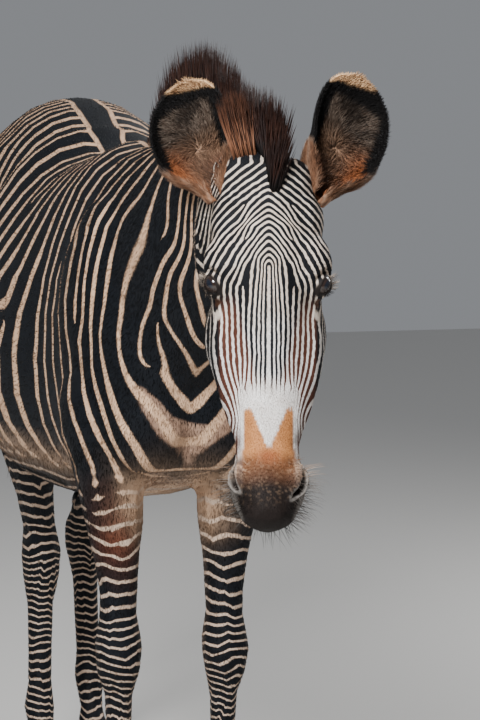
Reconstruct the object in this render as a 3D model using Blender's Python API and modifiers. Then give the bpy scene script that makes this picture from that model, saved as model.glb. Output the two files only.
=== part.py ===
"""A life-size Grevy's zebra, standing square on its forelegs with its head lowered and turned a little to its right.

The animal faces -Y, +Z is up and +X is its left side. It is modelled whole, from lofts and muscle forms that are
melted into one surface, and then parted with thin plane cuts. Everything is in metres.
"""

import math

import bmesh
import bpy
import numpy as np
from mathutils import Matrix, Vector

# ---------------------------------------------------------------- driving sizes
WITHERS_HEIGHT = 1.43
CROUP_HEIGHT = 1.495
BACK_HEIGHT = 1.380
BELLY_HEIGHT = 0.705
BARREL_HALF_WIDTH = 0.285
FORELEG_X = 0.103
FORELEG_SHIFT = 0.009
HIND_LEG_X = 0.078
HIND_STEP = {"left": 0.126, "right": -0.155}
KNEE_HEIGHT = 0.468
HOCK_HEIGHT = 0.50

HEAD_LENGTH = 0.632
HEAD_TILT = math.radians(20)
HEAD_YAW = math.radians(-10)
HEAD_ROLL = math.radians(0.8)
EYE_LINE_MID = Vector((0.045, -0.670, 1.230))
EYE_DOWN = 0.201
EYE_SIDE = 0.0890
EYE_DEPTH = -0.050
EYE_RADIUS = 0.0205

EAR_ROOT = (0.086, 0.013, -0.085)
EAR_LEAN = {"left": 25, "right": 20}
EAR_SIZE = {"left": 1.02, "right": 0.93}
EAR_BACK = 4
EAR_FACING = 12
EAR_WALL = 0.0055

MANE_HALF_WIDTH = 0.024

# The middle of the footprint, which is moved to the origin at the end.
MIDDLE = (0.001, 0.2705)

CUT = 0.0004
GAP = 0.0003
VOXEL = 0.0062
HEAD_ROUNDING, BODY_ROUNDING = 8, 46
BODY_TRIANGLES = 4050
HEAD_FINENESS = 0.055

# ---------------------------------------------------------------- colours (linear) of the plain materials
COLOURS = {
    "coat": ((0.24, 0.20, 0.17), 0.75),
    "mane_hair": ((0.045, 0.028, 0.020), 0.85),
    "hoof": ((0.035, 0.030, 0.027), 0.45),
    "eye": ((0.010, 0.006, 0.004), 0.10),
}


def clear_scene():
    for old in list(bpy.data.objects):
        bpy.data.objects.remove(old, do_unlink=True)


def material(slot):
    found = bpy.data.materials.get(slot)
    if found:
        return found
    colour, roughness = COLOURS[slot]
    made = bpy.data.materials.new(slot)
    made.use_nodes = True
    shader = made.node_tree.nodes["Principled BSDF"]
    shader.inputs["Base Color"].default_value = (*colour, 1)
    shader.inputs["Roughness"].default_value = roughness
    return made


def collection(name):
    made = bpy.data.collections.new(name)
    bpy.context.scene.collection.children.link(made)
    return made


def new_object(name, mesh, group):
    made = bpy.data.objects.new(name, mesh)
    group.objects.link(made)
    return made


def evaluated_mesh(obj):
    graph = bpy.context.evaluated_depsgraph_get()
    bpy.context.view_layer.update()
    return bpy.data.meshes.new_from_object(obj.evaluated_get(graph))


# ---------------------------------------------------------------- lofts
def spline(rows, per_span):
    """Catmull-Rom curve through rows of numbers, one row for each station."""
    rows = np.array(rows, float)
    ends = np.vstack([2 * rows[0] - rows[1], rows, 2 * rows[-1] - rows[-2]])
    out = []
    for i in range(len(rows) - 1):
        before, start, end, after = ends[i : i + 4]
        for t in np.arange(per_span) / per_span:
            out.append(
                0.5
                * (
                    2 * start
                    + (end - before) * t
                    + (2 * before - 5 * start + 4 * end - after) * t**2
                    + (3 * start - before - 3 * end + after) * t**3
                )
            )
    out.append(rows[-1])
    return np.array(out)


def tube_mesh(name, rings, folded=False):
    """A closed mesh through rings of equal length: its ends are fans, or strips where each ring is a folded band."""
    count, around = len(rings), len(rings[0])
    points = [tuple(p) for ring in rings for p in ring]
    points += [tuple(np.mean(rings[0], axis=0)), tuple(np.mean(rings[-1], axis=0))]
    faces = []
    for i in range(count - 1):
        for j in range(around):
            k = (j + 1) % around
            faces.append((i * around + j, i * around + k, (i + 1) * around + k, (i + 1) * around + j))
    first, last = count * around, count * around + 1
    far = (count - 1) * around
    if folded:
        points = points[:first]
        for j in range(around // 2 - 1):
            faces.append((j + 1, j, around - 1 - j, around - 2 - j))
            faces.append((far + j, far + j + 1, far + around - 2 - j, far + around - 1 - j))
    else:
        for j in range(around):
            k = (j + 1) % around
            faces.append((first, k, j))
            faces.append((last, far + j, far + k))
    mesh = bpy.data.meshes.new(name)
    mesh.from_pydata(points, [], faces)
    shape = bmesh.new()
    shape.from_mesh(mesh)
    bmesh.ops.recalc_face_normals(shape, faces=shape.faces)
    shape.to_mesh(mesh)
    shape.free()
    return mesh


def loft(name, group, stations, side=(1, 0, 0), per_span=6, around=28, box=0.92, keel=None, level=False):
    """Rings across a path, or level ones. A station is x, y, z, half width, half depth above the path and below it."""
    rows = spline(stations, per_span)
    centres, sizes = rows[:, :3], np.maximum(rows[:, 3:6], 0.002)
    tangents = np.gradient(centres, axis=0)
    angles = np.arange(around) * 2 * math.pi / around
    power = np.where(np.sin(angles) < 0, keel or box, box)
    across = np.sign(np.cos(angles)) * np.abs(np.cos(angles)) ** power
    upward = np.sign(np.sin(angles)) * np.abs(np.sin(angles)) ** power
    rings = []
    for centre, size, tangent in zip(centres, sizes, tangents):
        along = Vector((0, 0, -1)) if level else Vector(tangent).normalized()
        sideways = (Vector(side) - along * along.dot(Vector(side))).normalized()
        up = np.array(sideways.cross(along))
        reach = np.where(upward > 0, size[1], size[2])
        rings.append(centre + np.outer(across * size[0], sideways) + np.outer(upward * reach, up))
    return new_object(name, tube_mesh(name, rings), group)


def muscle(name, group, centre, radii, turn=(0, 0, 0)):
    """A swelling under the skin: an ellipsoid turned by angles in degrees."""
    mesh = bpy.data.meshes.new(name)
    shape = bmesh.new()
    bmesh.ops.create_uvsphere(shape, u_segments=24, v_segments=14, radius=1)
    turned = Matrix.Rotation(math.radians(turn[2]), 4, "Z")
    turned = turned @ Matrix.Rotation(math.radians(turn[1]), 4, "Y") @ Matrix.Rotation(math.radians(turn[0]), 4, "X")
    shape.transform(Matrix.Translation(centre) @ turned @ Matrix.Diagonal((*radii, 1)))
    shape.to_mesh(mesh)
    shape.free()
    return new_object(name, mesh, group)


# ---------------------------------------------------------------- head frame
class HeadFrame:
    """Places points given as (side, down the face, out of the forehead) on the tilted, turned head."""

    def __init__(self):
        turn = Matrix.Rotation(HEAD_YAW, 3, "Z")
        level = turn @ Vector((1, 0, 0))
        plumb = turn @ Vector((0, -math.sin(HEAD_TILT), -math.cos(HEAD_TILT)))
        self.side = level * math.cos(HEAD_ROLL) + plumb * math.sin(HEAD_ROLL)
        self.down = plumb * math.cos(HEAD_ROLL) - level * math.sin(HEAD_ROLL)
        self.out = turn @ Vector((0, -math.cos(HEAD_TILT), math.sin(HEAD_TILT)))
        self.origin = EYE_LINE_MID - self.down * 0.207 + self.out * 0.042

    def at(self, side, down, out):
        return self.origin + self.side * side + self.down * down + self.out * out

    def matrix(self):
        rows = Matrix((self.side, self.out, self.down)).transposed()
        return Matrix.Translation(self.origin) @ rows.to_4x4()


HEAD = HeadFrame()

# Down the head: distance from the poll, front profile, back profile, half widths near the front, midway and at the back.
HEAD_SECTIONS = (
    (-0.038, -0.075, -0.120, 0.030, 0.045, 0.035),
    (0.000, -0.034, -0.150, 0.046, 0.070, 0.055),
    (0.045, -0.006, -0.185, 0.066, 0.094, 0.062),
    (0.100, 0.008, -0.212, 0.078, 0.101, 0.062),
    (0.150, 0.012, -0.232, 0.083, 0.102, 0.062),
    (0.207, 0.008, -0.246, 0.076, 0.098, 0.060),
    (0.265, 0.001, -0.250, 0.066, 0.102, 0.060),
    (0.320, -0.005, -0.232, 0.059, 0.102, 0.058),
    (0.370, -0.011, -0.195, 0.055, 0.095, 0.054),
    (0.420, -0.016, -0.163, 0.052, 0.079, 0.048),
    (0.470, -0.019, -0.146, 0.050, 0.063, 0.044),
    (0.500, -0.020, -0.144, 0.050, 0.060, 0.044),
    (0.535, -0.021, -0.146, 0.052, 0.065, 0.046),
    (0.565, -0.023, -0.148, 0.052, 0.070, 0.048),
    (0.595, -0.030, -0.142, 0.047, 0.061, 0.043),
    (0.615, -0.046, -0.126, 0.034, 0.045, 0.033),
    (0.630, -0.068, -0.106, 0.014, 0.018, 0.014),
)


def head_ring(section, around=40):
    down, front, back, width_front, width_middle, width_back = section
    ring = []
    for j in range(around):
        angle = 2 * math.pi * j / around
        share = (1 - math.cos(angle)) / 2
        out = front + (back - front) * share
        if share < 0.45:
            mix = share / 0.45
            width = width_front + (width_middle - width_front) * math.sin(mix * math.pi / 2)
        else:
            mix = (share - 0.45) / 0.55
            width = width_middle + (width_back - width_middle) * mix**1.3
        side = width * math.copysign(abs(math.sin(angle)) ** 0.72, math.sin(angle))
        ring.append(HEAD.at(side, down, out))
    return ring


def head_forms(group):
    rows = spline(HEAD_SECTIONS, 5)
    rings = [head_ring(row) for row in rows]
    new_object("head_form", tube_mesh("head_form", rings), group)
    turn = [math.degrees(a) for a in HEAD.matrix().to_euler("XYZ")]
    for sign in (-1, 1):
        for name, place, radii in (
            ("brow", (0.066, 0.164, -0.054), (0.049, 0.050, 0.062)),
            ("cheek", (0.064, 0.268, -0.150), (0.042, 0.080, 0.080)),
            ("temple", (0.066, 0.085, -0.070), (0.036, 0.060, 0.052)),
            ("nostril", (0.048, 0.548, -0.056), (0.025, 0.032, 0.036)),
            ("crest", (0.074, 0.300, -0.070), (0.018, 0.022, 0.085)),
        ):
            side, down, out = place
            muscle(f"{name}_{sign}", group, HEAD.at(sign * side, down, out), radii, turn)
    muscle("chin", group, HEAD.at(0, 0.566, -0.122), (0.036, 0.034, 0.040), turn)
    muscle("upper_lip", group, HEAD.at(0, 0.592, -0.066), (0.046, 0.040, 0.034), turn)


# ---------------------------------------------------------------- trunk, neck and tail
# Along the back: y, top, bottom, half width, height of the widest place.
TRUNK = (
    (-0.235, 1.060, 0.900, 0.070, 0.970),
    (-0.190, 1.180, 0.845, 0.130, 0.985),
    (-0.090, 1.300, 0.805, 0.172, 1.000),
    (0.040, 1.405, 0.775, 0.190, 1.010),
    (0.160, WITHERS_HEIGHT + 0.006, 0.745, 0.208, 1.010),
    (0.300, 1.412, 0.718, 0.240, 1.010),
    (0.450, BACK_HEIGHT + 0.008, BELLY_HEIGHT, 0.272, 1.005),
    (0.600, 1.410, BELLY_HEIGHT, BARREL_HALF_WIDTH, 1.010),
    (0.750, 1.460, 0.740, 0.272, 1.040),
    (0.890, CROUP_HEIGHT, 0.825, 0.245, 1.110),
    (1.020, 1.488, 0.930, 0.225, 1.160),
    (1.140, 1.425, 1.000, 0.185, 1.180),
    (1.215, 1.325, 1.060, 0.125, 1.180),
    (1.245, 1.250, 1.120, 0.060, 1.180),
)

# Along the neck: x, y, z, half width, half height above, half height below.
NECK = (
    (0.000, 0.180, 1.120, 0.170, 0.300, 0.260),
    (0.000, 0.060, 1.150, 0.158, 0.280, 0.270),
    (0.000, -0.080, 1.190, 0.138, 0.262, 0.262),
    (0.006, -0.200, 1.245, 0.116, 0.228, 0.225),
    (0.018, -0.310, 1.295, 0.100, 0.196, 0.190),
    (0.032, -0.410, 1.330, 0.090, 0.168, 0.165),
    (0.046, -0.490, 1.340, 0.084, 0.148, 0.150),
    (0.056, -0.550, 1.330, 0.074, 0.120, 0.130),
)

# Down the tail: x, y, z, half width, half depth.
TAIL = (
    (0.000, 1.150, 1.385, 0.040, 0.040),
    (0.000, 1.225, 1.366, 0.034, 0.036),
    (0.000, 1.284, 1.305, 0.026, 0.028),
    (-0.002, 1.312, 1.200, 0.021, 0.023),
    (-0.006, 1.321, 1.080, 0.018, 0.020),
    (-0.010, 1.323, 0.970, 0.019, 0.020),
    (-0.014, 1.323, 0.900, 0.026, 0.026),
    (-0.017, 1.322, 0.830, 0.034, 0.034),
    (-0.020, 1.320, 0.740, 0.037, 0.036),
    (-0.022, 1.318, 0.660, 0.027, 0.027),
    (-0.023, 1.316, 0.605, 0.008, 0.008),
)


def trunk_forms(group):
    stations = []
    for y, top, bottom, half_width, widest in TRUNK:
        stations.append((0, y, widest, half_width, top - widest, widest - bottom))
    loft("trunk_form", group, stations, side=(1, 0, 0), around=36, box=0.92, keel=0.74)
    loft("neck_form", group, NECK, side=(-1, 0, 0), around=32)
    loft("tail_form", group, [(x, y, z, w, d, d) for x, y, z, w, d in TAIL], side=(1, 0, 0), around=16)
    for sign in (-1, 1):
        muscle(f"shoulder_{sign}", group, (sign * 0.104, 0.020, 1.110), (0.092, 0.150, 0.245), (16, 0, 0))
        muscle(f"upper_arm_{sign}", group, (sign * 0.132, -0.010, 0.930), (0.076, 0.120, 0.120), (-20, 0, 0))
        muscle(f"breast_{sign}", group, (sign * 0.066, -0.145, 0.935), (0.078, 0.075, 0.110), (10, 0, 0))
        muscle(f"elbow_{sign}", group, (sign * 0.120, 0.075, 0.840), (0.042, 0.050, 0.065))
        muscle(f"haunch_{sign}", group, (sign * 0.130, 1.000, 1.190), (0.110, 0.190, 0.210), (-12, 0, 0))
        muscle(f"hip_{sign}", group, (sign * 0.115, 0.870, 1.310), (0.092, 0.130, 0.100))
        muscle(f"buttock_{sign}", group, (sign * 0.085, 1.110, 1.150), (0.078, 0.105, 0.170), (-14, 0, 0))
    muscle("withers", group, (0, 0.110, 1.335), (0.060, 0.180, 0.095))


# ---------------------------------------------------------------- legs
# Down the leg: height, x inward from the leg's line, y, half width, half depth.
FORELEG = (
    (1.020, -0.020, -0.010, 0.074, 0.110),
    (0.900, -0.026, -0.004, 0.074, 0.112),
    (0.800, -0.016, 0.004, 0.066, 0.096),
    (0.735, -0.007, 0.004, 0.061, 0.078),
    (0.680, -0.004, 0.000, 0.051, 0.064),
    (0.600, 0.000, -0.004, 0.040, 0.049),
    (0.545, 0.000, -0.006, 0.039, 0.042),
    (0.505, 0.000, -0.008, 0.046, 0.045),
    (KNEE_HEIGHT, 0.000, -0.010, 0.049, 0.048),
    (0.425, 0.000, -0.007, 0.043, 0.042),
    (0.390, 0.001, -0.002, 0.031, 0.034),
    (0.300, 0.002, 0.000, 0.026, 0.032),
    (0.215, 0.002, 0.000, 0.027, 0.034),
    (0.170, 0.002, 0.000, 0.036, 0.040),
    (0.130, 0.002, -0.016, 0.031, 0.034),
    (0.095, 0.002, -0.036, 0.031, 0.034),
    (0.066, 0.002, -0.050, 0.041, 0.044),
    (0.060, 0.002, -0.052, 0.043, 0.046),
    (0.030, 0.002, -0.060, 0.047, 0.052),
    (0.000, 0.002, -0.068, 0.051, 0.058),
)

# Down the hind leg: height, x inward from the leg's line, y, half width, half depth.
HIND_LEG = (
    (1.220, -0.055, 1.000, 0.088, 0.190),
    (1.080, -0.068, 0.975, 0.102, 0.202),
    (0.960, -0.068, 0.945, 0.097, 0.190),
    (0.860, -0.060, 0.938, 0.084, 0.158),
    (0.770, -0.044, 0.965, 0.067, 0.116),
    (0.690, -0.028, 1.018, 0.052, 0.082),
    (0.615, -0.012, 1.075, 0.040, 0.058),
    (0.550, 0.002, 1.128, 0.038, 0.054),
    (HOCK_HEIGHT, 0.006, 1.150, 0.045, 0.060),
    (0.445, 0.006, 1.152, 0.041, 0.049),
    (0.395, 0.004, 1.150, 0.032, 0.038),
    (0.300, 0.002, 1.145, 0.028, 0.034),
    (0.215, 0.000, 1.140, 0.029, 0.036),
    (0.168, -0.002, 1.136, 0.036, 0.040),
    (0.130, -0.002, 1.120, 0.030, 0.033),
    (0.095, -0.002, 1.102, 0.030, 0.032),
    (0.064, -0.002, 1.088, 0.038, 0.041),
    (0.058, -0.002, 1.086, 0.040, 0.043),
    (0.030, -0.002, 1.079, 0.044, 0.050),
    (0.000, -0.002, 1.072, 0.047, 0.055),
)
THIGH_TOP = 1.10
CORONET, CORONET_TILT = 0.062, math.radians(14)

# Down a hoof below the coronet: height, y from the toe line's foot, half width, half depth.
FORE_HOOF = ((CORONET, -0.052, 0.044, 0.047), (0.040, -0.058, 0.047, 0.051), (0.004, -0.067, 0.052, 0.058), (0, -0.067, 0.050, 0.056))
HIND_HOOF = ((CORONET, 1.086, 0.041, 0.044), (0.040, 1.081, 0.044, 0.048), (0.004, 1.072, 0.048, 0.055), (0, 1.072, 0.046, 0.053))


def leg_forms(group):
    for name, sign in (("left", 1), ("right", -1)):
        fore = [(sign * (FORELEG_X - inward) + FORELEG_SHIFT, y, z, w, d, d) for z, inward, y, w, d in FORELEG]
        loft(f"foreleg_form_{name}", group, fore, side=(1, 0, 0), around=24, box=0.97, level=True)
        hind = []
        for z, inward, y, w, d in HIND_LEG:
            stride = HIND_STEP[name] * min(1, max(0, (THIGH_TOP - z) / (THIGH_TOP - HOCK_HEIGHT)))
            hind.append((sign * (HIND_LEG_X - inward), y + stride, z, w, d, d))
        loft(f"hind_leg_form_{name}", group, hind, side=(1, 0, 0), around=24, box=0.97, level=True)
        hock = HIND_STEP[name]
        muscle(f"hock_point_{name}", group, (sign * (HIND_LEG_X - 0.006), 1.184 + hock, 0.540), (0.025, 0.036, 0.062), (12, 0, 0))


def hoof(name, group, x, stride, rows, around=16):
    """A hoof from its sloping coronet down to a flat sole on the floor."""
    angles = np.arange(around) * 2 * math.pi / around
    rings = []
    for height, y, half_width, half_depth in rows:
        slope = math.tan(CORONET_TILT) * max(0.0, height - 0.004) / (CORONET - 0.004)
        across, along = half_width * np.cos(angles), half_depth * np.sin(angles)
        along = np.where(along > 0, along * 0.92, along)
        z = height - along * slope - (GAP if height == CORONET else 0)
        rings.append(np.column_stack([x + across, y + stride + along, z]))
    return new_object(name, tube_mesh(name, rings), group)


# ---------------------------------------------------------------- ears and mane
# Up an ear from its root: distance, offset outward, half width, depth of the cup, how far the rims wrap (degrees).
EAR = (
    (-0.030, 0.002, 0.028, 0.026, 172),
    (0.000, 0.006, 0.040, 0.034, 160),
    (0.024, 0.014, 0.055, 0.043, 138),
    (0.050, 0.020, 0.064, 0.048, 116),
    (0.080, 0.022, 0.068, 0.048, 101),
    (0.112, 0.020, 0.070, 0.044, 92),
    (0.144, 0.016, 0.066, 0.037, 86),
    (0.172, 0.013, 0.053, 0.027, 80),
    (0.192, 0.008, 0.034, 0.016, 72),
    (0.202, 0.004, 0.012, 0.008, 62),
)


def ear_frame(name):
    sign = 1 if name == "left" else -1
    turn = Matrix.Rotation(HEAD_YAW + math.radians(sign * EAR_FACING), 3, "Z")
    lean = Matrix.Rotation(math.radians(sign * EAR_LEAN[name]), 3, turn @ Vector((0, 1, 0)))
    back = Matrix.Rotation(math.radians(-EAR_BACK), 3, turn @ Vector((1, 0, 0)))
    up = lean @ back @ Vector((0, 0, 1))
    front = (turn @ Vector((0, -1, 0)) - up * up.dot(turn @ Vector((0, -1, 0)))).normalized()
    outward = sign * up.cross(front)
    side, down, out = EAR_ROOT
    return HEAD.at(sign * side, down, out), up, front, outward


def ear(name, group, across=8):
    """A cup open to the front: the outside from rim to rim, then the inside back again."""
    root, up, front, outward = ear_frame(name)
    rings = []
    for distance, offset, half_width, depth, wrap in spline(EAR, 2):
        centre = root + (up * distance + outward * offset) * EAR_SIZE[name]
        wall = min(EAR_WALL, half_width * 0.45)
        ring = []
        for shrink, order in ((0, range(across + 1)), (wall, range(across, -1, -1))):
            for j in order:
                angle = math.radians(wrap) * (2 * j / across - 1)
                wide, deep = half_width - shrink, depth - shrink
                ring.append(centre + outward * (wide * math.sin(angle)) - front * (deep * math.cos(angle)))
        rings.append(ring)
    return new_object(f"ear_{name}", tube_mesh(f"ear_{name}", rings, folded=True), group)


# Along the mane from the withers to the forelock: x, y, height of the root line, height of the tips, share of the width.
MANE = (
    (0.000, 0.130, 1.415, 1.440, 0.35),
    (0.000, 0.060, 1.420, 1.490, 0.70),
    (0.000, -0.020, 1.430, 1.545, 0.90),
    (0.001, -0.110, 1.440, 1.600, 1.00),
    (0.006, -0.200, 1.450, 1.636, 1.00),
    (0.014, -0.280, 1.455, 1.644, 1.00),
    (0.024, -0.370, 1.455, 1.624, 1.00),
    (0.035, -0.450, 1.440, 1.606, 1.00),
    (0.049, -0.520, 1.420, 1.588, 1.00),
    (0.060, -0.575, 1.400, 1.562, 0.95),
    (0.063, -0.618, 1.385, 1.515, 0.80),
    (0.056, -0.642, 1.385, 1.445, 0.45),
)


def mane(group):
    rings = []
    for x, y, low, high, share in spline(MANE, 2):
        ring = []
        for width, rise in ((0.9, 0), (1.0, 0.35), (0.92, 0.7), (0.55, 0.93), (-0.55, 0.93), (-0.92, 0.7), (-1.0, 0.35), (-0.9, 0)):
            ring.append((x + width * share * MANE_HALF_WIDTH, y, low + (high - low) * rise / 0.93))
        ring.insert(4, (x, y, low + (high - low) * 1.0))
        rings.append(ring)
    return new_object("mane", tube_mesh("mane", rings), group)


# ---------------------------------------------------------------- melting the forms into one body
def join_meshes(name, group, members):
    shape = bmesh.new()
    for member in members:
        shape.from_mesh(evaluated_mesh(member))
    mesh = bpy.data.meshes.new(name)
    shape.to_mesh(mesh)
    shape.free()
    for member in members:
        bpy.data.objects.remove(member)
    return new_object(name, mesh, group)


def melt(body):
    """One closed skin round all the forms, with the creases between them rounded off, least so on head and legs."""
    remesh = body.modifiers.new("melt", "REMESH")
    remesh.mode = "VOXEL"
    remesh.voxel_size = VOXEL
    body.data = evaluated_mesh(body)
    body.modifiers.clear()
    broad = body.vertex_groups.new(name="broad")
    for vertex in body.data.vertices:
        place = vertex.co
        from_head = (place - HEAD.at(0, 0.30, -0.05)).length
        from_tail = max(0.0, 1.27 - place.y) / 0.10
        share = min(1, max(0, (from_head - 0.34) / 0.12), from_tail) * min(1, max(0, (place.z - 0.60) / 0.12))
        broad.add([vertex.index], share, "REPLACE")
    everywhere = body.modifiers.new("round_off", "SMOOTH")
    everywhere.factor, everywhere.iterations = 0.5, HEAD_ROUNDING
    muscles = body.modifiers.new("round_off_muscles", "SMOOTH")
    muscles.factor, muscles.iterations, muscles.vertex_group = 0.5, BODY_ROUNDING, broad.name
    body.data = evaluated_mesh(body)
    body.modifiers.clear()
    body.vertex_groups.clear()
    return body


def thin_out(body, triangles):
    """Fewer faces, with more of them left to the head than to the rest."""
    coarse = body.vertex_groups.new(name="coarse")
    for vertex in body.data.vertices:
        away = (vertex.co - HEAD.at(0, 0.34, -0.08)).length
        coarse.add([vertex.index], 0.5 + 0.5 * min(1, max(0.0, (away - 0.26) / 0.12)), "REPLACE")
    decimate = body.modifiers.new("thin_out", "DECIMATE")
    decimate.ratio = triangles / sum(len(face.vertices) - 2 for face in body.data.polygons)
    decimate.vertex_group, decimate.vertex_group_factor = coarse.name, HEAD_FINENESS
    decimate.use_collapse_triangulate = True
    body.data = evaluated_mesh(body)
    body.modifiers.clear()
    body.vertex_groups.clear()
    return body


def boolean(target, tool, operation):
    step = target.modifiers.new(operation.lower(), "BOOLEAN")
    step.operation, step.solver, step.object = operation, "EXACT", tool
    target.data = evaluated_mesh(target)
    target.modifiers.clear()


def cutter(name, group, centre, size, turn=None):
    mesh = bpy.data.meshes.new(name)
    shape = bmesh.new()
    bmesh.ops.create_cube(shape, size=1)
    placed = Matrix.Translation(centre) @ (turn.to_4x4() if turn else Matrix.Identity(4))
    shape.transform(placed @ Matrix.Diagonal((*size, 1)))
    shape.to_mesh(mesh)
    shape.free()
    made = new_object(name, mesh, group)
    made.hide_render = True
    made.display_type = "WIRE"
    return made


def grown(source, distance, name, group):
    """A copy swollen evenly outward, to keep a hair's gap between touching pieces."""
    made = new_object(name, source.data.copy(), group)
    swell = made.modifiers.new("swell", "DISPLACE")
    swell.strength, swell.mid_level = distance, 0
    made.data = evaluated_mesh(made)
    made.modifiers.clear()
    made.hide_render = True
    return made


def part_off(body, name, animal, cutters, centre, size, turn=None):
    """The share of the body inside a box becomes a piece of its own, with a thin cut between it and the rest."""
    piece = new_object(name, body.data.copy(), animal)
    boolean(piece, cutter(f"cut_{name}", cutters, centre, size, turn), "INTERSECT")
    wider = [edge + 2 * CUT for edge in size]
    boolean(body, cutter(f"gap_{name}", cutters, centre, wider, turn), "DIFFERENCE")
    return piece


def eye(name, group, sign, radius):
    mesh = bpy.data.meshes.new(name)
    shape = bmesh.new()
    bmesh.ops.create_uvsphere(shape, u_segments=14, v_segments=9, radius=radius)
    shape.transform(Matrix.Translation(HEAD.at(sign * EYE_SIDE, EYE_DOWN, EYE_DEPTH)))
    shape.to_mesh(mesh)
    shape.free()
    return new_object(name, mesh, group)


def part_body(body, animal, cutters):
    head_axes = Matrix((HEAD.side, -HEAD.out, -HEAD.down)).transposed()
    jaw_line = head_axes @ Matrix.Rotation(math.radians(33), 3, "X")
    muzzle = part_off(body, "muzzle", animal, cutters, HEAD.at(0, 0.505 + 0.5, -0.1), (0.5, 0.7, 1), head_axes)
    ahead = HEAD.at(0, 0.070, -0.175) + jaw_line @ Vector((0, -0.5, 0))
    head = part_off(body, "head", animal, cutters, ahead, (0.8, 1, 1.4), jaw_line)
    neck_plane = Matrix.Rotation(math.radians(-28.5), 3, "X")
    ahead = Vector((0, -0.105, 1.21)) + neck_plane @ Vector((0, -0.5, 0))
    neck = part_off(body, "neck", animal, cutters, ahead, (1, 1, 1.6), neck_plane)
    tail_tuft = part_off(body, "tail_tuft", animal, cutters, (-0.018, 1.51, 0.42), (0.084, 0.50, 1.0))
    tail = part_off(body, "tail", animal, cutters, (-0.010, 1.508, 0.9925), (0.100, 0.50, 0.585))
    pieces = [muzzle, head, neck, tail_tuft, tail]
    for name, sign in (("left", 1), ("right", -1)):
        beside = sign * 0.26
        hock = HIND_STEP[name]
        pieces.append(part_off(body, f"fore_shin_{name}", animal, cutters, (beside, 0, 0.428 - 0.3), (0.5, 0.5, 0.6)))
        pieces.append(part_off(body, f"forearm_{name}", animal, cutters, (beside, 0, 0.738 - 0.2), (0.5, 0.26, 0.4)))
        pieces.append(part_off(body, f"hind_shin_{name}", animal, cutters, (beside, 1.15 + hock, 0.452 - 0.3), (0.5, 0.5, 0.6)))
        pieces.append(part_off(body, f"gaskin_{name}", animal, cutters, (beside, 1.10, 0.742 - 0.2), (0.5, 0.56, 0.4)))
    pieces.append(part_off(body, "forequarters", animal, cutters, (0, 0.25 - 0.5, 1.1), (1.2, 1, 1.4)))
    pieces.append(part_off(body, "hindquarters", animal, cutters, (0, 0.80 + 0.5, 1.1), (1.2, 1, 1.4)))
    body.name = "barrel"
    pieces.append(body)
    return pieces


def main():
    clear_scene()
    forms, animal, cutters = collection("forms"), collection("zebra"), collection("cutters")
    head_forms(forms)
    trunk_forms(forms)
    leg_forms(forms)
    body = join_meshes("body", animal, list(forms.objects))
    bpy.data.collections.remove(forms)
    melt(body)
    thin_out(body, BODY_TRIANGLES)
    for name, sign in (("left", 1), ("right", -1)):
        for end, x, stride, rows in (
            ("fore", sign * (FORELEG_X - 0.002) + FORELEG_SHIFT, 0, FORE_HOOF),
            ("hind", sign * (HIND_LEG_X + 0.002), HIND_STEP[name], HIND_HOOF),
        ):
            tilt = Matrix.Rotation(-CORONET_TILT, 3, "X")
            below = Vector((x, rows[0][1] + stride, CORONET)) - tilt @ Vector((0, 0, 0.1))
            boolean(body, cutter(f"coronet_{end}_{name}", cutters, below, (0.2, 0.4, 0.2), tilt), "DIFFERENCE")
            hoof(f"{end}_hoof_{name}", animal, x, stride, rows)
    clear = grown(body, GAP, "clearance", cutters)
    crest = mane(animal)
    boolean(crest, clear, "DIFFERENCE")
    for name, sign in (("left", 1), ("right", -1)):
        shell = ear(name, animal)
        boolean(shell, clear, "DIFFERENCE")
        eye(f"eye_{name}", animal, sign, EYE_RADIUS)
        socket = eye(f"socket_{name}", cutters, sign, EYE_RADIUS + GAP)
        socket.hide_render = True
        boolean(body, socket, "DIFFERENCE")
    part_body(body, animal, cutters)
    for made in list(animal.objects) + list(cutters.objects):
        made.data.transform(Matrix.Translation((-MIDDLE[0], -MIDDLE[1], 0)))
    for piece in animal.objects:
        look = "coat"
        if "hoof" in piece.name:
            look = "hoof"
        if piece.name.startswith("eye"):
            look = "eye"
        if piece.name in ("mane", "tail_tuft"):
            look = "mane_hair"
        piece.data.materials.clear()
        piece.data.materials.append(material(look))
        print(piece.name, sum(len(f.vertices) - 2 for f in piece.data.polygons))
    print("triangles", sum(len(f.vertices) - 2 for piece in animal.objects for f in piece.data.polygons))


main()
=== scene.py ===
import math

import bmesh
import bpy
import numpy as np
from mathutils import Matrix, Vector
from mathutils.bvhtree import BVHTree


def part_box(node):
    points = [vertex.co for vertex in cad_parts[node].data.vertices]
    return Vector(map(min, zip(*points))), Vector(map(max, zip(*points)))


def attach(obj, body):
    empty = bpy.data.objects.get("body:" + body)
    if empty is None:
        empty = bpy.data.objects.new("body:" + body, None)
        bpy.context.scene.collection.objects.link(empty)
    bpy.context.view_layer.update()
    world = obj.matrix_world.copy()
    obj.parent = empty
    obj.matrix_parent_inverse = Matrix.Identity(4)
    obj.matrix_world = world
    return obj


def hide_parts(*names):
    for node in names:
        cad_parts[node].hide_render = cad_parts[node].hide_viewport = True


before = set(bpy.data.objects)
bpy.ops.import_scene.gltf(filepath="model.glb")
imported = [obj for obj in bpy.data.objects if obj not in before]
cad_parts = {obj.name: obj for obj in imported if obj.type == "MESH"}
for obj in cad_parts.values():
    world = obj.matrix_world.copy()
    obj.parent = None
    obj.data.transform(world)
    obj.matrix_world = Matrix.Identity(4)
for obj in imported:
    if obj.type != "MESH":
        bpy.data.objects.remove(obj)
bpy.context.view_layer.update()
print("frame loaded")

# Where the head is: its axes turn with the same angles as the solids,
# and its origin follows from the two eyes
headPose = {"tilt": 20, "yaw": -10, "roll": 0.8, "eyeDown": 0.201, "eyeDepth": -0.050}
eyeBall = {"radius": 0.0205, "side": 0.089}


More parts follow.
